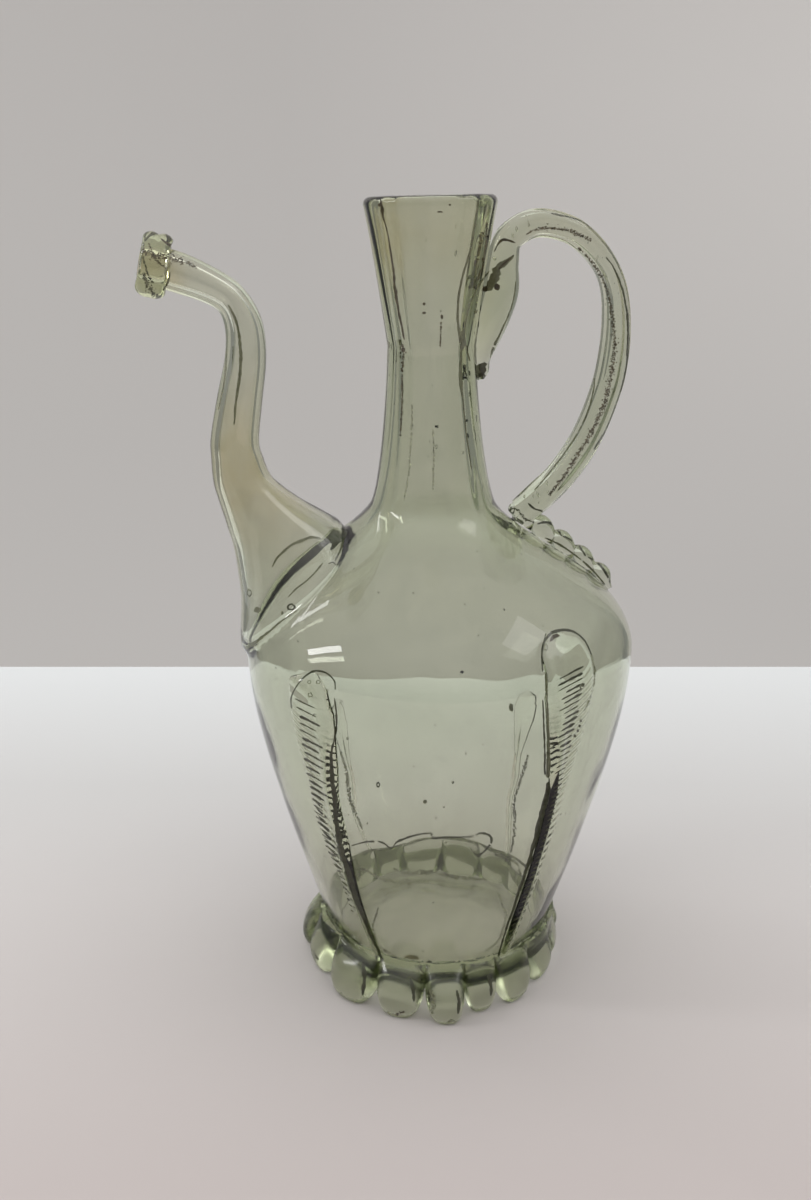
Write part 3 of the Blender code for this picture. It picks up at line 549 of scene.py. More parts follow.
def placed(name, data):
    """A new object with the given data, in the scene."""
    item = bpy.data.objects.new(name, data)
    bpy.context.scene.collection.objects.link(item)
    return item


def plain_mesh(name, vertices, faces):
    mesh = bpy.data.meshes.new(name)
    mesh.from_pydata(vertices, [], faces)
    return mesh


def solid_object(name, vertices, faces):
    """An object whose faces all look outwards."""
    mesh = plain_mesh(name, vertices, faces)
    bm = bmesh.new()
    bm.from_mesh(mesh)
    bmesh.ops.recalc_face_normals(bm, faces=bm.faces)
    bm.to_mesh(mesh)
    bm.free()
    return placed(name, mesh)


def band(here, there, count):
    """Faces between two rings of points, which start at the numbers here and there."""
    return [(here + index, here + (index + 1) % count, there + (index + 1) % count, there + index)
            for index in range(count)]


def skin(name, rings, closed=False):
    """A skin through rings of points, capped at both ends or closed round on itself."""
    count = len(rings[0])
    rows = len(rings)
    faces = []
    for row in range(rows if closed else rows - 1):
        faces += band(row * count, (row + 1) % rows * count, count)
    if not closed:
        faces.append(tuple(range(count)))
        faces.append(tuple(range((rows - 1) * count, rows * count)))
    return solid_object(name, [tuple(point) for ring in rings for point in ring], faces)


def rim_drop(x, height):
    """How much lower the neck stands on the spout's side, as the rim isn't quite level."""
    share = ease((height - WAIST_HEIGHT) / (RIM_HEIGHT - WAIST_HEIGHT))
    return RIM_TILT * share * (0.5 - 0.5 * x / RIM_RADIUS)


def turned(name, profile, sides, waver, lift):
    """A profile with both ends on the axis, turned and leaned; waver moves points outwards and lift up."""
    vertices = []
    for height in (profile[0][1], profile[-1][1]):
        vertices.append((neck_shift(height), 0.0, height - rim_drop(0.0, height)))
    middle = profile[1:-1]
    for radius, height in middle:
        for index in range(sides):
            angle = 2 * math.pi * index / sides
            across = radius + waver(angle, radius, height)
            x, y = across * math.cos(angle), across * math.sin(angle)
            vertices.append((x + neck_shift(height), y, height - rim_drop(x, height) + lift(x, y, height)))
    faces = []
    for row in range(len(middle) - 1):
        faces += band(2 + row * sides, 2 + (row + 1) * sides, sides)
    last = 2 + (len(middle) - 1) * sides
    for index in range(sides):
        after = (index + 1) % sides
        faces.append((0, 2 + index, 2 + after))
        faces.append((1, last + index, last + after))
    return solid_object(name, vertices, faces)


def boolean(item, operation, other):
    """Joins or cuts item with other, keeps the result as item's mesh and removes other."""
    modifier = item.modifiers.new("join", "BOOLEAN")
    modifier.operation = operation
    modifier.solver = "MANIFOLD"
    modifier.object = other
    bpy.context.view_layer.update()
    graph = bpy.context.evaluated_depsgraph_get()
    mesh = bpy.data.meshes.new_from_object(item.evaluated_get(graph))
    item.modifiers.clear()
    item.data = mesh
    bpy.data.objects.remove(other, do_unlink=True)


def tube_ring(centre, heading, half_depth, half_width, sides, reeds=0.0):
    outward = Vector((-math.sin(heading), 0.0, math.cos(heading)))
    ring = []
    for index in range(sides):
        angle = 2 * math.pi * index / sides
        groove = reeds * (0.5 * (1 - math.cos(REED_COUNT * angle))) ** 2
        ring.append(centre + outward * ((half_depth - groove) * math.cos(angle))
                    + Vector((0.0, (half_width - groove) * math.sin(angle), 0.0)))
    return ring


def headings(points):
    angles = []
    for index in range(len(points)):
        step = points[min(index + 1, len(points) - 1)] - points[max(index - 1, 0)]
        angles.append(math.atan2(step.z, step.x))
    return angles


def ripple(angle, radius, height, relief, wave, pattern):
    """Soft unevenness of hand-blown glass, with features about one wave long."""
    place = Vector((radius * math.cos(angle), radius * math.sin(angle), height)) / wave
    return relief * noise.noise(place + Vector((pattern, pattern * 1.7, pattern * 0.3)))


def outside_waver(angle, radius, height):
    return ease(radius / QUIET_RADIUS) * sum(ripple(angle, radius, height, *waves) for waves in OUTSIDE_WAVES)


def inside_waver(angle, radius, height):
    neck = ease((height - FOLDS_FROM_HEIGHT) / FOLDS_FADE)
    around = Vector((math.cos(angle), math.sin(angle), 0.0)) * FOLDS_PER_TURN
    around.z = height / FOLD_LENGTH
    soft = (1 - 0.5 * neck) * ripple(angle, radius, height, *INSIDE_WAVES)
    return ease(radius / QUIET_RADIUS) * (soft + neck * FOLD_RELIEF * noise.noise(around))


def no_lift(x, y, height):
    return 0.0


def floor_unevenness(x, y, height):
    """Lumps in the bottom, as the seen glass there is thick and thin by turns."""
    low = 1.0 - ease((height - BASE_HEIGHT - KICK_HEIGHT) / FLOOR_LUMPS_HEIGHT)
    lumps = [relief * noise.noise(Vector((x, y, pattern)) / wave) for relief, wave, pattern in FLOOR_LUMPS]
    return low * sum(lumps)


def lip_arc(angles):
    """Points round the lip of the neck, from angles in degrees above the outward level."""
    half = NECK_WALL / 2
    return [(RIM_RADIUS - half + half * math.cos(math.radians(angle)),
             RIM_HEIGHT - half + half * math.sin(math.radians(angle))) for angle in angles]


def make_outside():
    """The vessel's outer form as a solid, with its pushed-up base."""
    kick_top = BASE_HEIGHT + KICK_HEIGHT
    edge = BASE_RADIUS - BASE_FILLET * 2
    underside = [(BASE_RADIUS - BASE_FILLET * 0.15, BASE_HEIGHT + BASE_FILLET * 0.60),
                 (BASE_RADIUS - BASE_FILLET * 0.55, BASE_HEIGHT + BASE_FILLET * 0.25),
                 (BASE_RADIUS - BASE_FILLET * 1.2, BASE_HEIGHT + BASE_FILLET * 0.05), (edge, BASE_HEIGHT)]
    underside += bezier((edge, BASE_HEIGHT), (edge * 0.80, BASE_HEIGHT), (edge * 0.55, kick_top),
                        (0.0, kick_top), BASE_CURVE_STEPS)
    profile = [(0.0, RIM_HEIGHT)] + lip_arc((90, 72, 54, 36, 18)) + outer_profile()[::-1] + underside
    return turned("outside", profile, WALL_SIDES, outside_waver, no_lift)


def make_cavity():
    """The space inside the vessel, open through the rim."""
    floor_edge = BASE_HEIGHT + BASE_WALL + BASE_FILLET
    drawn_in = offset_profile(outer_profile(INSIDE_STEPS), lambda height: -wall_at(height))
    inside = [point for point in drawn_in if point[1] > floor_edge]
    lip = lip_arc((162, 144, 126, 108, 92))
    over = RIM_HEIGHT + NECK_WALL
    kick_top = BASE_HEIGHT + KICK_HEIGHT + BASE_WALL
    edge = BASE_RADIUS - BASE_FILLET * 2 - BASE_WALL * 0.5
    low = BASE_HEIGHT + BASE_WALL
    floor = bezier((edge, low), (edge * 0.80, low), (edge * 0.55, kick_top), (0.0, kick_top),
                   FLOOR_CURVE_STEPS)
    corner = inside[0]
    turn_up = bezier((edge, low), ((edge + corner[0]) / 2 + 0.0004, low),
                     (corner[0] - 0.0002, corner[1] - 0.0006), corner, FLOOR_CORNER_STEPS)
    profile = floor[::-1] + [(edge, low)] + turn_up[:-1] + inside + lip + [(lip[-1][0], over), (0.0, over)]
    return turned("cavity", profile, WALL_SIDES, inside_waver, floor_unevenness)


def spout_foot():
    return Vector((SPOUT_FOOT_SINK - body_radius(SPOUT_FOOT_HEIGHT), 0.0, SPOUT_FOOT_HEIGHT))


def spout_rings(inset, lead, sides):
    foot = spout_foot()
    knots = []
    for along, up, heading, swell in SPOUT_SECTIONS:
        depth = SPOUT_TUBE_RADIUS + swell * (SPOUT_FOOT_DEPTH - SPOUT_TUBE_RADIUS)
        width = SPOUT_TUBE_RADIUS + swell * (SPOUT_FOOT_WIDTH - SPOUT_TUBE_RADIUS)
        knots.append((foot.x - along * SPOUT_REACH, foot.z + up * SPOUT_RISE, heading, depth, width))
    rings = []
    for x, z, heading, depth, width in smooth_samples(knots, SPOUT_RINGS):
        centre = Vector((x, 0.0, z))
        rings.append(tube_ring(centre, math.radians(heading), depth - inset, width - inset, sides))
    if lead:
        way = math.radians(SPOUT_SECTIONS[0][2])
        back = Vector((math.cos(way), 0.0, math.sin(way))) * lead
        rings.insert(0, [point - back for point in rings[0]])
    return rings


def make_lip_ring():
    way = math.radians(SPOUT_SECTIONS[0][2])
    axis = Vector((math.cos(way), 0.0, math.sin(way)))
    across = Vector((-math.sin(way), 0.0, math.cos(way)))
    foot = spout_foot()
    mouth = Vector((foot.x - SPOUT_REACH, 0.0, foot.z + SPOUT_RISE))
    middle = SPOUT_TUBE_RADIUS + LIP_RING_THICKNESS * 0.5
    rings = []
    for index in range(LIP_RING_SIDES):
        around = 2 * math.pi * index / LIP_RING_SIDES
        radial = across * math.cos(around) + Vector((0.0, math.sin(around), 0.0))
        uneven = 1.04 - 0.10 * math.sin(1.5 * around + 0.7) ** 2 - 0.08 * math.sin(2.5 * around) ** 2
        ring = []
        for corner in range(LIP_RING_CORNERS):
            angle = 2 * math.pi * corner / LIP_RING_CORNERS
            rise = math.sin(angle)
            groove = LIP_GROOVE * bell(math.cos(angle), 0.0, 0.28) * (0.62 + 0.38 * math.sin(around + 1.0))
            swell = (uneven - groove) if rise > 0 else 1.3
            ring.append(mouth + axis * (LIP_RING_LENGTH * 0.5 * (1 - uneven * math.cos(angle)))
                        + radial * (middle + LIP_RING_THICKNESS * 0.5 * rise * swell))
        rings.append(ring)
    return skin("lip_ring", rings, closed=True)


def neck_side(height):
    return body_radius(height) + neck_shift(height)


def handle_knots():
    top_height = RIM_HEIGHT - HANDLE_TOP_DROP
    top = Vector((neck_side(top_height) + HANDLE_TOP_STANDOFF, 0.0, top_height))
    landing = Vector((HANDLE_FOOT_RADIUS, 0.0, surface_height(HANDLE_FOOT_RADIUS) + HANDLE_FOOT_RISE))
    knots = []
    for share, standoff, depth, width in reversed(DROP_PATH):
        height = top_height - share * DROP_LENGTH
        knots.append((neck_side(height) + standoff, height, depth * DROP_WIDTH, width * DROP_WIDTH, 0.0))
    for rise, out, thickness in STRAP_PATH:
        x = landing.x + rise * (top.x - landing.x) + out * HANDLE_REACH
        z = landing.z + rise * (top.z - landing.z)
        reeds = REED_DEPTH * ease(out / 0.4)
        knots.append((x, z, thickness * STRAP_RADIUS, thickness * STRAP_RADIUS, reeds))
    return knots


def make_strap():
    samples = smooth_samples(handle_knots(), HANDLE_RINGS)
    centres = [Vector((sample[0], 0.0, sample[1])) for sample in samples]
    rings = []
    for centre, heading, sample in zip(centres, headings(centres), samples):
        rings.append(tube_ring(centre, heading, sample[2], sample[3], HANDLE_SIDES, sample[4]))
    return skin("strap", rings)


def make_tail():
    start = HANDLE_FOOT_RADIUS - TAIL_THICKNESS / 2
    count = TAIL_BEADS * TAIL_RINGS_PER_BEAD
    centres = []
    sizes = []
    for index in range(count + 1):
        share = index / count
        radius = start + share * (TAIL_END_RADIUS - start)
        pinch = (0.5 * (1 - math.cos(2 * math.pi * TAIL_BEADS * share))) ** 0.7
        taper = 1.0 - 0.30 * share
        swell = (0.66 + 0.36 * pinch) * taper
        swell *= 1.0 + 0.25 * (1 - ease(share * TAIL_BEADS * 2))
        swell *= min(1.0, 0.35 + 8 * share, 0.35 + 8 * (1 - share))
        centres.append(Vector((radius, 0.0, surface_height(radius) + TAIL_THICKNESS * 0.40 * swell)))
        sizes.append(swell)
    rings = []
    for centre, heading, swell in zip(centres, headings(centres), sizes):
        rings.append(tube_ring(centre, heading, TAIL_THICKNESS / 2 * swell, TAIL_WIDTH / 2 * swell,
                              TAIL_SIDES))
    return skin("tail", rings)


def all_lobes():
    lobes = [(azimuth, LOBE_REACH + extra) for azimuth, extra in SEEN_LOBES]
    first = SEEN_LOBES[-1][0]
    span = SEEN_LOBES[0][0] + 360.0 - first
    for index in range(1, HIDDEN_LOBES + 1):
        azimuth = first + span * index / (HIDDEN_LOBES + 1)
        lobes.append((azimuth, LOBE_REACH + HIDDEN_LOBE_VARIATION * math.sin(2.3 * index)))
    return lobes


def foot_section(azimuth, reach, fullness):
    top = body_radius(FOOT_TOP_HEIGHT) - LEAF_SINK
    low = body_radius(FOOT_BOTTOM_HEIGHT) - LEAF_SINK
    notch = low + LEAF_SINK + FOOT_THREAD_DEPTH
    rise = FOOT_NOTCH_RISE
    thin = LOBE_THICKNESS
    pairs = (
        ((top, FOOT_TOP_HEIGHT), (top, FOOT_TOP_HEIGHT)),
        ((top + FOOT_THREAD_DEPTH * 0.5, FOOT_TOP_HEIGHT + FOOT_CREST),
         (top + FOOT_THREAD_DEPTH * 0.6, FOOT_TOP_HEIGHT)),
        ((notch, rise + 0.0040), (reach - thin * 0.30, FOOT_TOP_HEIGHT * 0.74)),
        ((notch, rise + 0.0022), (reach - thin * 0.02, FOOT_TOP_HEIGHT * 0.42)),
        ((notch - 0.0006, rise + 0.0008), (reach - thin * 0.02, FOOT_TOP_HEIGHT * 0.19)),
        ((notch - 0.0015, rise), (reach - thin * 0.24, 0.0002)),
        ((low + 0.0020, rise - 0.0002), (reach - thin * 0.62, 0.0003)),
        ((low + 0.0012, rise - 0.0003), (reach - thin * 0.97, FOOT_TOP_HEIGHT * 0.22)),
        ((low, FOOT_BOTTOM_HEIGHT), (low, FOOT_BOTTOM_HEIGHT)),
    )
    knots = []
    for bare, full in pairs:
        knots.append((bare[0] + fullness * (full[0] - bare[0]), bare[1] + fullness * (full[1] - bare[1])))
    ring = []
    for radius, height in smooth_samples(knots, FOOT_CORNERS):
        ring.append((radius * math.cos(azimuth), radius * math.sin(azimuth), max(height, 0.0)))
    return ring


def make_foot():
    lobes = all_lobes()
    count = len(lobes)
    rings = []
    for index, (azimuth, reach) in enumerate(lobes):
        before = lobes[index - 1][0] - (360.0 if index == 0 else 0.0)
        after = lobes[(index + 1) % count][0] + (360.0 if index == count - 1 else 0.0)
        for place in LOBE_COLUMNS:
            side = (azimuth - before) if place < 0 else (after - azimuth)
            angle = math.radians(azimuth + place * side / 2)
            fullness = (1 - abs(place) ** 3.2) ** 0.62
            rings.append(foot_section(angle, reach - FOOT_OFFSET * math.cos(angle), fullness))
    return skin("foot", rings, closed=True)


def wall_point(azimuth, height, proud):
    step = 0.002
    slope = (body_radius(height + step) - body_radius(height - step)) / (2 * step)
    length = math.hypot(1.0, slope)
    radius = body_radius(height) + proud / length
    return Vector((radius * math.cos(azimuth) + neck_shift(height), radius * math.sin(azimuth),
                   height - proud * slope / length))


def make_leaf(index, top_azimuth, low_azimuth, top_height, width, outline, spine_side):
    """A milled drop: slanting combed ribs across a thin blade, with a thick spine down one edge."""
    bottom_height = FOOT_TOP_HEIGHT - 0.001
    stout = min(width / LEAF_FULL_WIDTH, 1.0)
    length_share = top_height / LEAVES[0][2]
    rows = LEAF_ROWS if stout == 1.0 else BACK_LEAF_ROWS
    rings = []
    for row in range(rows):
        share = row / (rows - 1)
        along = share ** 0.95
        half = width / 2 * lookup(outline, along)
        height = top_height + along * (bottom_height - top_height)
        azimuth = math.radians(top_azimuth + along ** 4 * (low_azimuth - top_azimuth))
        slant = min(half * 0.5, top_height * 0.03) * ease(along / 0.08) * ease((1 - along) / 0.08)
        fade = stout * (0.45 + 0.55 * ease(along / 0.06) * ease((1 - along) / 0.05))
        spine = SPINE_THICKNESS * (0.48 + 0.52 * ease(along / 0.30)) * fade
        blade = LEAF_THICKNESS * fade * (1.0 + 0.5 * bell(along, 0.05, 0.04))
        phase = RIB_COUNT * length_share * along ** 0.86 * math.pi
        comb = stout * RIB_RELIEF * ease((along - 0.10) / 0.06) * math.sin(phase) ** 2
        section = []
        for column in range(LEAF_COLUMNS):
            place = math.sin(math.pi * (column / (LEAF_COLUMNS - 1) - 0.5))
            across = max(0.0, 1 - place * place) ** 0.30
            ridge = bell(place, 0.60, 0.26)
            combed = ease((0.42 - place) / 0.25) * ease((1 + place) / 0.22)
            proud = across * (blade + (spine - blade) * ridge) + comb * combed
            section.append((place, -LEAF_SINK * 0.3 if column in (0, LEAF_COLUMNS - 1) else proud))
        section += [(0.7, -LEAF_SINK), (-0.7, -LEAF_SINK)]
        ring = []
        for place, proud in section:
            level = height - slant * place
            turn = spine_side * place * half / body_radius(level)
            ring.append(wall_point(azimuth + turn, level, proud))
        rings.append(ring)
    return skin("leaf_%d" % index, rings)


def tree_of(item):
    mesh = item.data
    return BVHTree.FromPolygons([v.co for v in mesh.vertices], [tuple(f.vertices) for f in mesh.polygons])


def soften_joints(glass, vessel_tree, added_trees, reach, rounds):
    """Rounds the glass where an added gather meets the vessel, as the two have melted together."""
    bm = bmesh.new()
    bm.from_mesh(glass.data)
    near = []
    for vertex in bm.verts:
        if vessel_tree.find_nearest(vertex.co, reach)[0] is None:
            continue
        if any(tree.find_nearest(vertex.co, reach)[0] is not None for tree in added_trees):
            near.append(vertex)
    for passed in range(rounds):
        bmesh.ops.smooth_vert(bm, verts=near, factor=0.5, use_axis_x=True, use_axis_y=True, use_axis_z=True)
    bm.to_mesh(glass.data)
    bm.free()


def make_glass():
    """Every gather of glass joined into one fused wall, then emptied."""
    glass = make_outside()
    vessel_tree = tree_of(glass)
    bore_rings = spout_rings(SPOUT_WALL, SPOUT_WALL, SPOUT_SIDES)
    way = math.radians(SPOUT_SECTIONS[-1][2])
    inwards = Vector((math.cos(way), 0.0, math.sin(way))) * BORE_ENTRY
    bore_rings.append([point + inwards for point in bore_rings[-1]])
    bore = skin("bore", bore_rings)
    added = [skin("spout", spout_rings(0.0, 0.0, SPOUT_SIDES)), make_lip_ring(), make_strap(), make_tail(),
             make_foot()]
    soft_trees = [tree_of(item) for item in added]
    for index, leaf in enumerate(LEAVES):
        added.append(make_leaf(index, *leaf))
    for item in added:
        boolean(glass, "UNION", item)
    for item in (make_cavity(), bore):
        boolean(glass, "DIFFERENCE", item)
    soften_joints(glass, vessel_tree, soft_trees, JOINT_SOFTNESS, JOINT_ROUNDS)
    soften_joints(glass, vessel_tree, soft_trees[:1], SEAM_SOFTNESS, SEAM_ROUNDS)
    glass.name = "ewer_glass"
    glass.data.name = "ewer_glass"
    return glass


def add_ball(bm, centre, size, stretch):
    """A bubble: a small ball whose faces look into it, drawn out along the wall."""
    made = bmesh.ops.create_icosphere(bm, subdivisions=1, radius=1.0)
    turned_in = set()
    for vertex in made["verts"]:
        vertex.co = centre + Vector((vertex.co.x * size, vertex.co.y * size, vertex.co.z * size * stretch))
        turned_in.update(vertex.link_faces)
    bmesh.ops.reverse_faces(bm, faces=list(turned_in))


def in_wall(height, angle, depth):
    """A place in the vessel's glass, at a depth under its outer face."""
    radius = body_radius(height) - depth
    return Vector((radius * math.cos(angle) + neck_shift(height) + AXIS_X, radius * math.sin(angle), height))


def add_seeds(glass):
    """Seeds in the wall: small round ones in the body, and drawn-out ones in the neck and the strap."""
    dice = random.Random(SEED)
    bm = bmesh.new()
    bm.from_mesh(glass.data)
    for index in range(BODY_SEEDS):
        height = dice.uniform(*BODY_SEED_HEIGHT)
        angle = dice.uniform(0, 2 * math.pi)
        size = dice.uniform(*BODY_SEED_SIZE) * dice.uniform(0.6, 1.0)
        add_ball(bm, in_wall(height, angle, BODY_WALL * 0.5), size, dice.uniform(*BODY_SEED_STRETCH))
    for index in range(NECK_SEEDS):
        height = dice.uniform(*NECK_SEED_HEIGHT)
        angle = dice.uniform(0, 2 * math.pi)
        centre = in_wall(height, angle, NECK_WALL * dice.uniform(0.3, 0.7))
        add_ball(bm, centre, dice.uniform(*NECK_SEED_SIZE), dice.uniform(*NECK_SEED_STRETCH))
    samples = smooth_samples(handle_knots(), STRAP_SEED_ROWS)
    for index in range(STRAP_SEEDS):
        x, z, depth, width, reeds = samples[dice.randrange(*STRAP_SEED_SPAN)]
        centre = Vector((x + AXIS_X + dice.uniform(-0.5, 0.5) * depth, dice.uniform(-0.6, 0.6) * width, z))
        add_ball(bm, centre, dice.uniform(*STRAP_SEED_SIZE), dice.uniform(*STRAP_SEED_STRETCH))
    bm.to_mesh(glass.data)
    bm.free()


def stain_weight(place):
    """Where the old glass is stained brown: the spout's bend and lip, and faintly round the rim."""
    x, y, z = place.x - AXIS_X, place.y, place.z
    around = 0.22 * bell(z, 0.212, 0.012)
    left = 0.9 * bell(x, -0.018, 0.005) * bell(z, 0.205, 0.012)
    right = 0.75 * bell(x, 0.009, 0.004) * bell(z, 0.195, 0.016) * ease(-y / 0.004)
    spout = 0.62 * bell(z, 0.150, 0.020) * ease((-x - 0.030) / 0.010)
    lip = 0.5 * ease((-x - 0.064) / 0.006)
    return min(around + left + right + spout + lip, 1.0)


def paint_stains(glass):
    stains = glass.data.attributes.new("stain", "FLOAT", "POINT")
    stains.data.foreach_set("value", [stain_weight(vertex.co) for vertex in glass.data.vertices])


def camera_way(x, y):
    """The direction in which the camera sees a place in the photograph, given in its pixels."""
    focal = CAMERA_LENS / SENSOR * PHOTO_HEIGHT
    local = Vector(((x - PHOTO_WIDTH / 2) / focal, (PHOTO_HEIGHT / 2 - y) / focal, -1.0))
    return (camera.rotation_euler.to_matrix() @ local).normalized()


def under_surface(tree, x, y, layer):
    """A point a little inside the glass, on its layer-th surface behind a place in the photograph."""
    way = camera_way(x, y)
    start = camera.location.copy()
    for step in range(layer + 1):
        place, normal, face, distance = tree.ray_cast(start, way)
        if place is None:
            return None
        start = place + way * SURFACE_STEP
    return place - normal * MARK_DEPTH


def add_grid(marks, rows, tone, longest):
    """Faces between rows of points, left out where a point is missing or the surface jumps."""
    vertices, faces, tones = marks
    for upper, lower in zip(rows, rows[1:]):
        for a, b, c, d in zip(upper, upper[1:], lower[1:], lower):
            corners = (a, b, c, d)
            if any(corner is None for corner in corners) or max((a - c).length, (b - d).length) > longest:
                continue
            first = len(vertices)
            vertices.extend(corners)
            faces.append((first, first + 1, first + 2, first + 3))
            tones.extend([tone] * 4)


def add_line(marks, tree, path, tone, breaks=0.0, layer=0, seed=0.0):
    """A streak along a path of (x, y, width) in pixels; breaks, from 0 to 1, leave gaps in it."""
    length = sum(math.hypot(b[0] - a[0], b[1] - a[1]) for a, b in zip(path, path[1:]))
    samples = smooth_samples(path, max(int(length / LINE_STEP), 5))
    run = []
    for index, (x, y, width) in enumerate(samples):
        before, after = samples[max(index - 1, 0)], samples[min(index + 1, len(samples) - 1)]
        step = math.hypot(after[0] - before[0], after[1] - before[1]) or 1.0
        across = ((before[1] - after[1]) / step, (after[0] - before[0]) / step)
        wobble = noise.noise(Vector((index * 0.45, seed, 0.5)))
        end = min(index, len(samples) - 1 - index)
        half = 0.5 * width * (1.0 + 0.45 * wobble) * min(1.0, 0.35 + 0.3 * end)
        drift = 0.22 * width * noise.noise(Vector((index * 0.13, seed, 7.5)))
        if noise.noise(Vector((index * 0.62, seed, 3.5))) * 0.5 + 0.5 < breaks:
            add_grid(marks, run, tone, LONGEST_FACE)
            run = []
            continue
        aside = [drift + share * half for share in (-1.0, -0.4, 0.4, 1.0)]
        run.append([under_surface(tree, x + across[0] * move, y + across[1] * move, layer) for move in aside])
    add_grid(marks, run, tone, LONGEST_FACE)


def add_speckles(marks, tree, path, tone, layer, seed):
    """A line made of many small specks, denser along its middle: specks of grime for some lines, painted
    shade of dark edges for others.
    """
    dice = random.Random(seed)
    for (xa, ya, wa), (xb, yb, wb) in zip(path, path[1:]):
        span = math.hypot(xb - xa, yb - ya)
        across = ((ya - yb) / span, (xb - xa) / span)
        for index in range(int(span * (1.6 + 0.30 * (wa + wb)))):
            share = dice.random()
            drift = dice.gauss(0.0, 0.30) * (wa + share * (wb - wa))
            x = xa + share * (xb - xa) + drift * across[0]
            y = ya + share * (yb - ya) + drift * across[1]
            size = dice.uniform(0.5, 1.3)
            way = dice.uniform(0, math.pi)
            long = Vector((math.cos(way), math.sin(way))) * size
            short = Vector((-long.y, long.x)) * dice.uniform(0.4, 0.8)
            moves = (-long, -short, long, short)
            corners = [under_surface(tree, x + move.x, y + move.y, layer) for move in moves]
            shade = dice.uniform(0.6, 1.8)
            add_grid(marks, [(corners[0], corners[1]), (corners[3], corners[2])],
                     tuple(shade * value for value in tone), LONGEST_SPECK)


def add_blot(marks, tree, x, y, width, height, tone, layer, hollow):
    """A blot or, if hollow, a ring: an uneven ellipse about a place, its size in pixels."""
    rings = []
    for reach in (max(hollow, 0.02), 0.5 + 0.5 * hollow, 1.0):
        ring = []
        for spoke in range(BLOT_SPOKES + 1):
            angle = 2 * math.pi * (spoke % BLOT_SPOKES) / BLOT_SPOKES
            pattern = Vector((x, y, 2.0 * math.cos(angle) + math.sin(angle)))
            uneven = reach * (1.0 + 0.35 * noise.noise(pattern))
            ring.append(under_surface(tree, x + 0.5 * width * uneven * math.cos(angle),
                                      y + 0.5 * height * uneven * math.sin(angle), layer))
        rings.append(ring)
    add_grid(marks, rings, tone, LONGEST_FACE)


def add_ribs(marks, tree, comb_side, spine_side, rows, tone, seed):
    """Short slanting dashes of a combed leaf, between its outer edge and its spine."""
    dice = random.Random(seed)
    for index in range(rows):
        share = (index / rows) ** 0.93
        outer = lookup_pair(comb_side, share)
        inner = lookup_pair(spine_side, share)
        dark = dice.random()
        start = dice.uniform(0.06, 0.16)
        stop = dice.uniform(0.62, 0.95)
        slant = 0.28 * abs(inner[0] - outer[0])
        path = []
        for step in (start, (start + stop) / 2, stop):
            x = outer[0] + step * (inner[0] - outer[0])
            y = outer[1] + step * (inner[1] - outer[1] + slant)
            path.append((x, y, (2.6 - 1.3 * step) * (0.55 + 0.6 * dark)))
        add_line(marks, tree, path, tuple(value * (1.5 - 0.8 * dark) for value in tone), seed=index * 1.7)


def lookup_pair(path, share):
    place = share * (len(path) - 1)
    here = min(int(place), len(path) - 2)
    t = place - here
    return tuple(a + t * (b - a) for a, b in zip(path[here], path[here + 1]))


def make_marks(glass):
    """Dirt, cords and dark folds in the glass, and painted shade along its dark edges, laid just under its
    skin where the photograph shows them.
    """
    tree = tree_of(glass)
    marks = ([], [], [])
    for seed, (tone, breaks, layer, path) in enumerate(LINES):
        if breaks >= SPECKLED:
            add_speckles(marks, tree, path, tone, layer, seed)
        else:
            add_line(marks, tree, path, tone, breaks, layer, seed * 3.1)
    for x, y, width, height, tone, layer, hollow in BLOTS:
        add_blot(marks, tree, x, y, width, height, tone, layer, hollow)
    add_ribs(marks, tree, LEFT_COMB, LEFT_SPINE, LEFT_RIBS, LEAF_DARK, 4)
    add_ribs(marks, tree, RIGHT_COMB, RIGHT_SPINE, RIGHT_RIBS, LEAF_DARK, 5)
    mesh = plain_mesh("dirt_folds_and_painted_shade", marks[0], marks[1])
    colours = mesh.color_attributes.new("tone", "FLOAT_COLOR", "POINT")
    colours.data.foreach_set("color", [value for tone in marks[2] for value in (*tone, 1.0)])
    mesh.materials.append(dirt_and_shade_material())
    return placed("dirt_folds_and_painted_shade", mesh)


def principled(name, **values):
    """A new material's node tree and its shader, with plain values on the shader's sockets."""
    material = bpy.data.materials.new(name)
    material.use_nodes = True
    shader = material.node_tree.nodes["Principled BSDF"]
    for socket, value in values.items():
        shader.inputs[socket.replace("_", " ")].default_value = value
    return material, material.node_tree, shader


def feed(tree, socket, value):
    """Links a socket to another one, or sets its plain value."""
    if isinstance(value, bpy.types.NodeSocket):
        tree.links.new(value, socket)
    else:
        socket.default_value = value


def add_node(tree, kind, values, **settings):
    node = tree.nodes.new("ShaderNode" + kind)
    for name, setting in settings.items():
        setattr(node, name, setting)
    for socket, value in values.items():
        feed(tree, node.inputs[socket], value)
    return node


def texture_place(tree, space="Object"):
    return add_node(tree, "TexCoord", {}).outputs[space]


def clouds(tree, place, scale, detail, distortion=0.0):
    values = {"Vector": place, "Scale": scale, "Detail": detail, "Distortion": distortion}
    return add_node(tree, "TexNoise", values).outputs["Fac"]


def spread(tree, value, from_low, from_high, to_low=0.0, to_high=1.0):
    """A value from one range moved to another, and held at its ends."""
    values = {"Value": value, "From Min": from_low, "From Max": from_high,
              "To Min": to_low, "To Max": to_high}
    return add_node(tree, "MapRange", values).outputs["Result"]


def combined(tree, operation, first, second):
    return add_node(tree, "Math", {0: first, 1: second}, operation=operation).outputs["Value"]


def scaled(tree, colour, amount):
    return add_node(tree, "VectorMath", {0: colour, "Scale": amount}, operation="SCALE").outputs["Vector"]


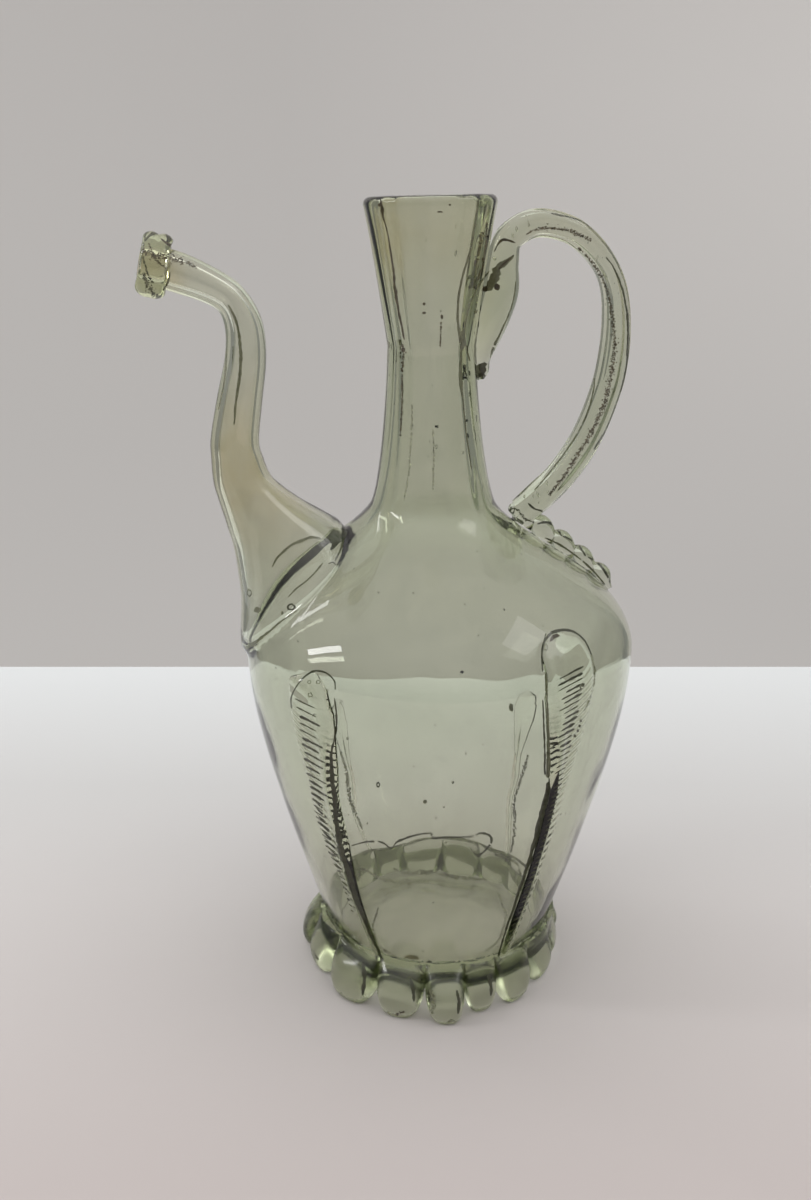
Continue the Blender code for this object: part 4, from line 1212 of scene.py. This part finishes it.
def graded(tree, share, stops):
    """A colour that follows stops of (share, colour)."""
    ramp = add_node(tree, "ValToRGB", {"Fac": share})
    elements = ramp.color_ramp.elements
    for element, (position, colour) in zip(elements, (stops[0], stops[-1])):
        element.position = position
        element.color = (*colour, 1.0)
    for position, colour in stops[1:-1]:
        elements.new(position).color = (*colour, 1.0)
    return ramp.outputs["Color"]


def glass_material():
    """Clear greenish glass, browner where it is stained, with the soft waves and haze of an old surface."""
    material, tree, shader = principled("clear_glass", Transmission_Weight=1.0, IOR=1.50)
    depth = add_node(tree, "VolumeAbsorption", {"Color": GLASS_TINT, "Density": GLASS_DENSITY})
    feed(tree, tree.nodes["Material Output"].inputs["Volume"], depth.outputs["Volume"])
    place = texture_place(tree)
    height = add_node(tree, "SeparateXYZ", {0: place}).outputs["Z"]
    share = spread(tree, height, 0.0, RIM_HEIGHT)
    cloud = clouds(tree, place, CLOUD_SCALE, 4.0)
    veil = spread(tree, clouds(tree, place, VEIL_SCALE, 5.0, 1.2), 0.3, 0.7, *VEIL_LIGHT)
    stain = add_node(tree, "Attribute", {}, attribute_name="stain").outputs["Fac"]
    values = {"Factor": combined(tree, "MULTIPLY", stain, cloud),
              "A": scaled(tree, graded(tree, share, TINT_BY_HEIGHT), veil), "B": STAIN_TINT}
    stained = add_node(tree, "Mix", values, data_type="RGBA")
    feed(tree, shader.inputs["Base Color"], stained.outputs["Result"])
    haze = spread(tree, cloud, 0.45, 0.75, 0.0, HAZE)
    foot_haze = spread(tree, share, *FOOT_HAZE_SHARES, FOOT_HAZE, 0.0)
    feed(tree, shader.inputs["Roughness"], combined(tree, "ADD", haze, foot_haze))
    values = {"Strength": 1.0, "Distance": WAVE_RELIEF, "Height": clouds(tree, place, WAVE_SCALE, 1.5)}
    feed(tree, shader.inputs["Normal"], add_node(tree, "Bump", values).outputs["Normal"])
    return material


def dirt_and_shade_material():
    """Dirt, dark folds and painted shade along dark edges: each streak's own tone, mottled."""
    material, tree, shader = principled("dirt_and_painted_shade_in_glass", Roughness=0.7)
    tone = add_node(tree, "Attribute", {}, attribute_name="tone").outputs["Color"]
    grain = spread(tree, clouds(tree, texture_place(tree), GRAIN_SCALE, 3.0), 0.0, 1.0, *GRAIN_LIGHT)
    feed(tree, shader.inputs["Base Color"], scaled(tree, tone, grain))
    return material


def wall_material():
    """A plain pale wall, with a little light of its own where it stands further from the lamps."""
    material, tree, shader = principled("wall", Base_Color=WALL_COLOUR, Roughness=0.9,
                                        Emission_Color=WALL_GLOW)
    sides = add_node(tree, "SeparateXYZ", {0: texture_place(tree)}).outputs
    glow = spread(tree, sides["Z"], -0.22, 0.37, 0.205, 0.115)
    corner = combined(tree, "MULTIPLY", spread(tree, sides["X"], -0.10, 0.40, 0.0, 0.11),
                      spread(tree, sides["Z"], -0.15, 0.30))
    feed(tree, shader.inputs["Emission Strength"], combined(tree, "ADD", glow, corner))
    return material


def table_material():
    """Pale paper with painted shade, darker and warmer towards the front and lighter and cooler at the back,
    and light pooled under the glass.
    """
    material, tree, shader = principled("table", Roughness=0.65, Emission_Color=POOL_GLOW)
    place = texture_place(tree)
    depth = spread(tree, add_node(tree, "SeparateXYZ", {0: place}).outputs["Y"], PAPER_FRONT, TABLE_BACK)
    feed(tree, shader.inputs["Base Color"], graded(tree, depth, PAPER_WITH_PAINTED_SHADE))
    axis = Matrix.Rotation(-math.radians(CAMERA_TURN), 3, "Z") @ Vector((AXIS_X, 0.0, 0.0))
    from_axis = add_node(tree, "VectorMath", {0: place, 1: axis}, operation="SUBTRACT").outputs["Vector"]
    distance = add_node(tree, "VectorMath", {0: from_axis}, operation="LENGTH").outputs["Value"]
    pool = graded(tree, spread(tree, distance, 0.0, LOBE_REACH), POOL)
    feed(tree, shader.inputs["Emission Strength"], pool)
    return material


def stage_quad(name, material, corners):
    """A plain face of the stage, turned to face the camera squarely."""
    mesh = plain_mesh(name, corners, [(0, 1, 2, 3)])
    mesh.materials.append(material)
    item = placed(name, mesh)
    item.rotation_euler.z = math.radians(CAMERA_TURN)


def sky_light(name, azimuth, elevation, width, height, radiance, roll):
    """A rectangular light in a direction seen from the shoulder, with an even radiance over its face."""
    turn, lift = math.radians(azimuth), math.radians(elevation)
    way = Vector((math.cos(turn) * math.cos(lift), math.sin(turn) * math.cos(lift), math.sin(lift)))
    light = bpy.data.lights.new(name, "AREA")
    light.shape = "RECTANGLE"
    light.size = width
    light.size_y = height
    light.energy = radiance * math.pi * width * height
    item = placed(name, light)
    item.location = Vector((AXIS_X, 0.0, SHOULDER_HEIGHT)) + way * LIGHT_DISTANCE
    item.rotation_euler = (-way).to_track_quat("-Z", "Y").to_euler()
    item.rotation_euler.rotate_axis("Z", math.radians(roll))


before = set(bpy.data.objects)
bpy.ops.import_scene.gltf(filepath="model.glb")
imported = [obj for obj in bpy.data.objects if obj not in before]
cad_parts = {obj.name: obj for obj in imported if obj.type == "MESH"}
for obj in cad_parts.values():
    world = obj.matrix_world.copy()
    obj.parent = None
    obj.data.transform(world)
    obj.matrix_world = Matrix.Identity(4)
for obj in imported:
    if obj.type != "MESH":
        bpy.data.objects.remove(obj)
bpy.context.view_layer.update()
low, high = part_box("body")
AXIS_X = (low.x + high.x) / 2

camera_data = bpy.data.cameras.new("camera")
camera_data.lens = CAMERA_LENS
camera_data.sensor_width = SENSOR
camera = placed("camera", camera_data)
round_axis = math.radians(CAMERA_AZIMUTH)
camera.location = (AXIS_X + CAMERA_DISTANCE * math.sin(round_axis), -CAMERA_DISTANCE * math.cos(round_axis),
                   CAMERA_HEIGHT)
camera.rotation_euler = (math.radians(90 - CAMERA_PITCH), 0.0, math.radians(CAMERA_TURN))
bpy.context.scene.camera = camera

glass = make_glass()
glass.data.transform(Matrix.Translation((AXIS_X, 0.0, 0.0)))
# marks of dirt and folds, and painted shade along dark edges
dirt_and_shade = make_marks(glass)
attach(dirt_and_shade, "root")
paint_stains(glass)
add_seeds(glass)
glass.data.shade_smooth()
glass.data.set_sharp_from_angle(angle=math.radians(SHARP_ANGLE))
glass.data.materials.clear()
glass.data.materials.append(glass_material())
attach(glass, "root")
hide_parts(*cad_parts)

stage_quad("floor", table_material(), (
    (-TABLE_HALF, TABLE_FRONT, 0), (TABLE_HALF, TABLE_FRONT, 0),
    (TABLE_HALF, TABLE_BACK, 0), (-TABLE_HALF, TABLE_BACK, 0)))
stage_quad("wall", wall_material(), (
    (-WALL_HALF, WALL_BACK, WALL_LOW), (WALL_HALF, WALL_BACK, WALL_LOW),
    (WALL_HALF, WALL_BACK, WALL_HIGH), (-WALL_HALF, WALL_BACK, WALL_HIGH)))

for light in LIGHTS:
    sky_light(*light)

world = bpy.data.worlds.new("room")
world.use_nodes = True
sky = world.node_tree
height = add_node(sky, "SeparateXYZ", {0: texture_place(sky, "Generated")}).outputs["Z"]
background = sky.nodes["Background"]
feed(sky, background.inputs["Color"], graded(sky, spread(sky, height, -1.0, 1.0), SKY))
background.inputs["Strength"].default_value = SKY_STRENGTH
bpy.context.scene.world = world
bpy.context.scene.view_settings.view_transform = "Standard"
